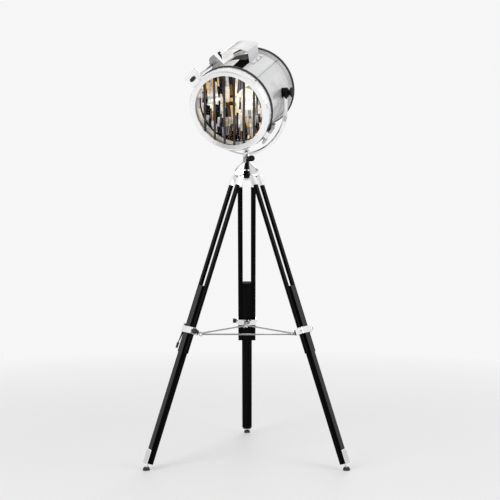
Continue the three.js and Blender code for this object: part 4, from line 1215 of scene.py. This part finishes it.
def streaks_in(tree, place):
    along = stretch(tree, place, streak_stretch)
    parts = split(tree, place)
    waver = spread(tree, cloud(tree, along, waver_size, 1.0, 0.4), 0.3, 0.7, -bar_waver, bar_waver)
    across = calculate(tree, "MULTIPLY_ADD", parts["X"], 1 / bar_width, waver)
    bar = calculate(tree, "FLOOR", across)
    bar_draw = put_node(tree, "ShaderNodeTexWhiteNoise", noise_dimensions="1D")
    feed(tree, bar_draw.inputs["W"], bar)
    shift = calculate(tree, "MULTIPLY", bar_draw.outputs["Value"], block_shift)
    block = calculate(
        tree,
        "FLOOR",
        calculate(tree, "MULTIPLY_ADD", parts["Z"], 1 / block_height, shift),
    )
    spot = put_node(tree, "ShaderNodeCombineXYZ")
    feed(tree, spot.inputs["X"], bar)
    feed(tree, spot.inputs["Y"], block)
    block_draw = put_node(tree, "ShaderNodeTexWhiteNoise", noise_dimensions="3D")
    feed(tree, block_draw.inputs["Vector"], spot.outputs[0])
    draws = put_node(tree, "ShaderNodeSeparateColor")
    feed(tree, draws.inputs[0], block_draw.outputs["Color"])
    within = calculate(tree, "SUBTRACT", across, bar)
    to_edge = calculate(tree, "MINIMUM", within, calculate(tree, "SUBTRACT", 1.0, within))
    fringe = spread(tree, to_edge, 0.0, fringe_share, fringe_loss, 0.0)
    level = calculate(
        tree,
        "ADD",
        calculate(tree, "MULTIPLY_ADD", draws.outputs["Red"], block_gain, block_lift),
        fringe,
    )
    return level, draws.outputs["Green"]


def streak_colour(tree, level, draw):
    warm = spread(tree, draw, warm_share - tone_blur, warm_share + tone_blur, 0.0, 1.0)
    return blend_colours(
        tree, warm, tone_ramp(tree, level, warm_tones), tone_ramp(tree, level, cool_tones)
    )


def near(tree, value, middle, full, none):
    away = calculate(tree, "ABSOLUTE", calculate(tree, "SUBTRACT", value, middle))
    return spread(tree, away, full, none, 1.0, 0.0)


mirror_finish, mirror_tree, mirror_shader = start_finish(
    "mirror_finish", mirror_smooth, mirror_metallic
)
mirror_place = coordinates_in(mirror_tree, streak_frame)
painted_reflection_level, mirror_draw = streaks_in(mirror_tree, mirror_place)
mirror_along = stretch(mirror_tree, mirror_place, streak_stretch)
mirror_fine = cloud(mirror_tree, mirror_along, streak_size, 1.0, 0.5)
mirror_parts = split(mirror_tree, mirror_place)
mirror_side = mirror_parts["X"]
mirror_up = mirror_parts["Z"]
# Painted highlight: the glare patch.
painted_glare = calculate(
    mirror_tree,
    "MULTIPLY",
    near(mirror_tree, mirror_side, glare_middle[0], glare_full, glare_reach[0]),
    near(mirror_tree, mirror_up, glare_middle[1], glare_full, glare_reach[1]),
)
# Painted band of light across the bowl.
painted_light_band = calculate(
    mirror_tree,
    "MULTIPLY",
    near(mirror_tree, mirror_up, band_height, band_full, band_reach),
    spread(mirror_tree, mirror_side, band_right, band_right + band_reach, 1.0, 0.0),
)
bowl_parts = split(mirror_tree, coordinates_in(mirror_tree, head_frame))
bowl_radius = reach_of(mirror_tree, bowl_parts["X"], bowl_parts["Y"])
# Painted shade mask along the bowl's lower left rim.
rim_radius = bowl_radius
on_painted_rim = spread(mirror_tree, rim_radius, rim_inner, rim_inner + rim_fade, 0.0, 1.0)
for axis, limit in (("X", rim_side), ("Y", rim_up)):
    within_limit = spread(mirror_tree, bowl_parts[axis], limit, limit + rim_blur, 1.0, 0.0)
    on_painted_rim = calculate(mirror_tree, "MULTIPLY", on_painted_rim, within_limit)
painted_rim_level = spread(
    mirror_tree, rim_radius, rim_middle, rim_middle + rim_fade, rim_painted_shade, rim_painted_light
)
painted_reflection_level = calculate(mirror_tree, "MULTIPLY_ADD", painted_glare, glare_gain, painted_reflection_level)
painted_reflection_level = calculate(mirror_tree, "MULTIPLY_ADD", painted_light_band, band_gain, painted_reflection_level)
painted_reflection_level = blend_numbers(mirror_tree, on_painted_rim, painted_reflection_level, painted_rim_level)
# The painted reflection goes into base colour, edge tint and a glow.
painted_reflection_tone = streak_colour(mirror_tree, painted_reflection_level, mirror_draw)
mirror_shader.inputs["Specular IOR Level"].default_value = mirror_shine
feed(mirror_tree, mirror_shader.inputs["Base Color"], painted_reflection_tone)
feed(mirror_tree, mirror_shader.inputs["Specular Tint"], painted_reflection_tone)
feed(mirror_tree, mirror_shader.inputs["Emission Color"], painted_reflection_tone)
mirror_shader.inputs["Emission Strength"].default_value = painted_reflection_glow
relief(mirror_tree, mirror_fine, streak_depth, mirror_shader)
dress("reflector", mirror_finish)

bulb_glass, bulb_tree, bulb_shader = start_finish("bulb_glass", bulb_smooth, 0.0)
bulb_place = coordinates_in(bulb_tree, head_frame)
bulb_frost = cloud(bulb_tree, bulb_place, frost_size, 2.0, 0.5)
# Painted reflection: the bulb's glow carries the bowl's painted streaks.
bulb_painted_streaks, bulb_draw = streaks_in(bulb_tree, coordinates_in(bulb_tree, streak_frame))
bulb_painted_streaks = calculate(bulb_tree, "ADD", bulb_painted_streaks, bulb_gain)
feed(
    bulb_tree,
    bulb_shader.inputs["Base Color"],
    blend_colours(bulb_tree, bulb_frost, bulb_clear, bulb_frosted),
)
feed(
    bulb_tree,
    bulb_shader.inputs["Emission Color"],
    blend_colours(
        bulb_tree,
        calculate(bulb_tree, "MULTIPLY", bulb_frost, frost_share),
        streak_colour(bulb_tree, bulb_painted_streaks, bulb_draw),
        bulb_glow,
    ),
)
bulb_shader.inputs["Emission Strength"].default_value = bulb_strength
dress("bulb", bulb_glass)

holder_ceramic, holder_tree, holder_shader = start_finish("holder_ceramic", holder_rough, 0.0)
holder_marks = use_group(holder_tree, moulded_group, Vector=coordinates_in(holder_tree, head_frame))
feed(
    holder_tree,
    holder_shader.inputs["Base Color"],
    blend_colours(holder_tree, holder_marks["Wear"], holder_white, holder_grey),
)
relief(holder_tree, holder_marks["Skin"], holder_depth, holder_shader)
dress("lamp_holder", holder_ceramic)


# Door
# The front ring is spun from sheet and chromed, and it carries a flat glass and a guard of
# six thin upright bars. It swings on a barrel hinge at its lower right side.
bezel_bright = (0.99, 0.99, 0.99, 1)
bezel_dull = (0.96, 0.961, 0.965, 1)
bar_tone = (0.035, 0.027, 0.022, 1)
bar_light = (0.11, 0.09, 0.075, 1)
glass_tint = (0.97, 0.985, 0.985, 1)
glass_shine = (0.15, 0.15, 0.15, 1)
glass_index = 1.45
glass_dust_size = 25.0
glass_dust_limits = (0.5, 0.8)
glass_dusty = 0.06
bezel_metallic = 0.8
bezel_depth = 0.000004
bezel_smooth = 0.2
bezel_hazy = 0.28
hinge_bright = (0.6, 0.6, 0.61, 1)
hinge_smooth = 0.08
hinge_hazy = 0.2
guard_rough = 0.34
guard_metallic = 0.5
guard_depth = 0.0002

bezel_chrome = buffed(
    "bezel_chrome",
    bezel_bright,
    bezel_dull,
    bezel_smooth,
    bezel_hazy,
    head_frame,
    bezel_metallic,
    bezel_depth,
)
dress("bezel_ring", bezel_chrome)
hinge_chrome = plated(
    "hinge_chrome", hinge_bright, rod_dull, hinge_smooth, hinge_hazy, head_frame
)[0]
dress("door_hinge", hinge_chrome)

bar_finish, bar_tree, bar_shader = start_finish("bar_finish", guard_rough, guard_metallic)
bar_place = coordinates_in(bar_tree, bar_frame)
bar_marks = use_group(bar_tree, polish_group, Vector=bar_place)
feed(
    bar_tree,
    bar_shader.inputs["Base Color"],
    blend_colours(bar_tree, bar_marks["Haze"], bar_tone, bar_light),
)
relief(bar_tree, bar_marks["Ripple"], guard_depth, bar_shader)
dress("grille", bar_finish)

door_glass, glass_tree, glass_shader = start_finish("door_glass", 0.0, 0.0)
glass_place = coordinates_in(glass_tree, head_frame)
glass_dust = cloud(glass_tree, glass_place, glass_dust_size, 5.0, 0.7, 0.4)
glass_haze = spread(glass_tree, glass_dust, *glass_dust_limits, 0.0, glass_dusty)
feed(glass_tree, glass_shader.inputs["Roughness"], glass_haze)
glass_shader.inputs["Base Color"].default_value = glass_tint
glass_shader.inputs["Transmission Weight"].default_value = 1.0
glass_shader.inputs["IOR"].default_value = glass_index
glass_shader.inputs["Specular Tint"].default_value = glass_shine
dress("front_glass", door_glass)


# Closure
# A chromed bolt turns in a darker pressed keeper on the drum, and its oval head holds the
# square lug of the door shut. A moulded black post stands on the drum behind the keeper.
closure_head_at = 0.2102
keeper_turn = math.radians(121)
keeper_along = -0.035
keeper_low = 0.1495
keeper_high = 0.197
keeper_half_width = 0.0042
keeper_half_depth = 0.0055
keeper_rounding = 0.0015
keeper_steps = 3
keeper_bright = (0.34, 0.335, 0.335, 1)
keeper_dull = (0.16, 0.155, 0.155, 1)

dress("closure_bolt", two_finishes("bolt_finish", head_frame, "Z", closure_head_at, True))
keeper_chrome = plated(
    "keeper_chrome", keeper_bright, keeper_dull, drum_smooth, drum_hazy, head_frame
)[0]
dress("bolt_keeper", keeper_chrome)
keeper_form = bmesh.new()
keeper_middle = (keeper_low + keeper_high) / 2
keeper_size = Matrix.Diagonal(
    (2 * keeper_half_width, 2 * keeper_half_depth, keeper_high - keeper_low, 1)
)
keeper_place = standing_on_drum(keeper_turn, keeper_middle, keeper_along)
bmesh.ops.create_cube(keeper_form, size=1.0, matrix=keeper_place @ keeper_size)
bmesh.ops.bevel(
    keeper_form,
    geom=list(keeper_form.edges),
    offset=keeper_rounding,
    segments=keeper_steps,
    affect="EDGES",
)
link_piece("keeper_post", keeper_form, black_mould, "head")
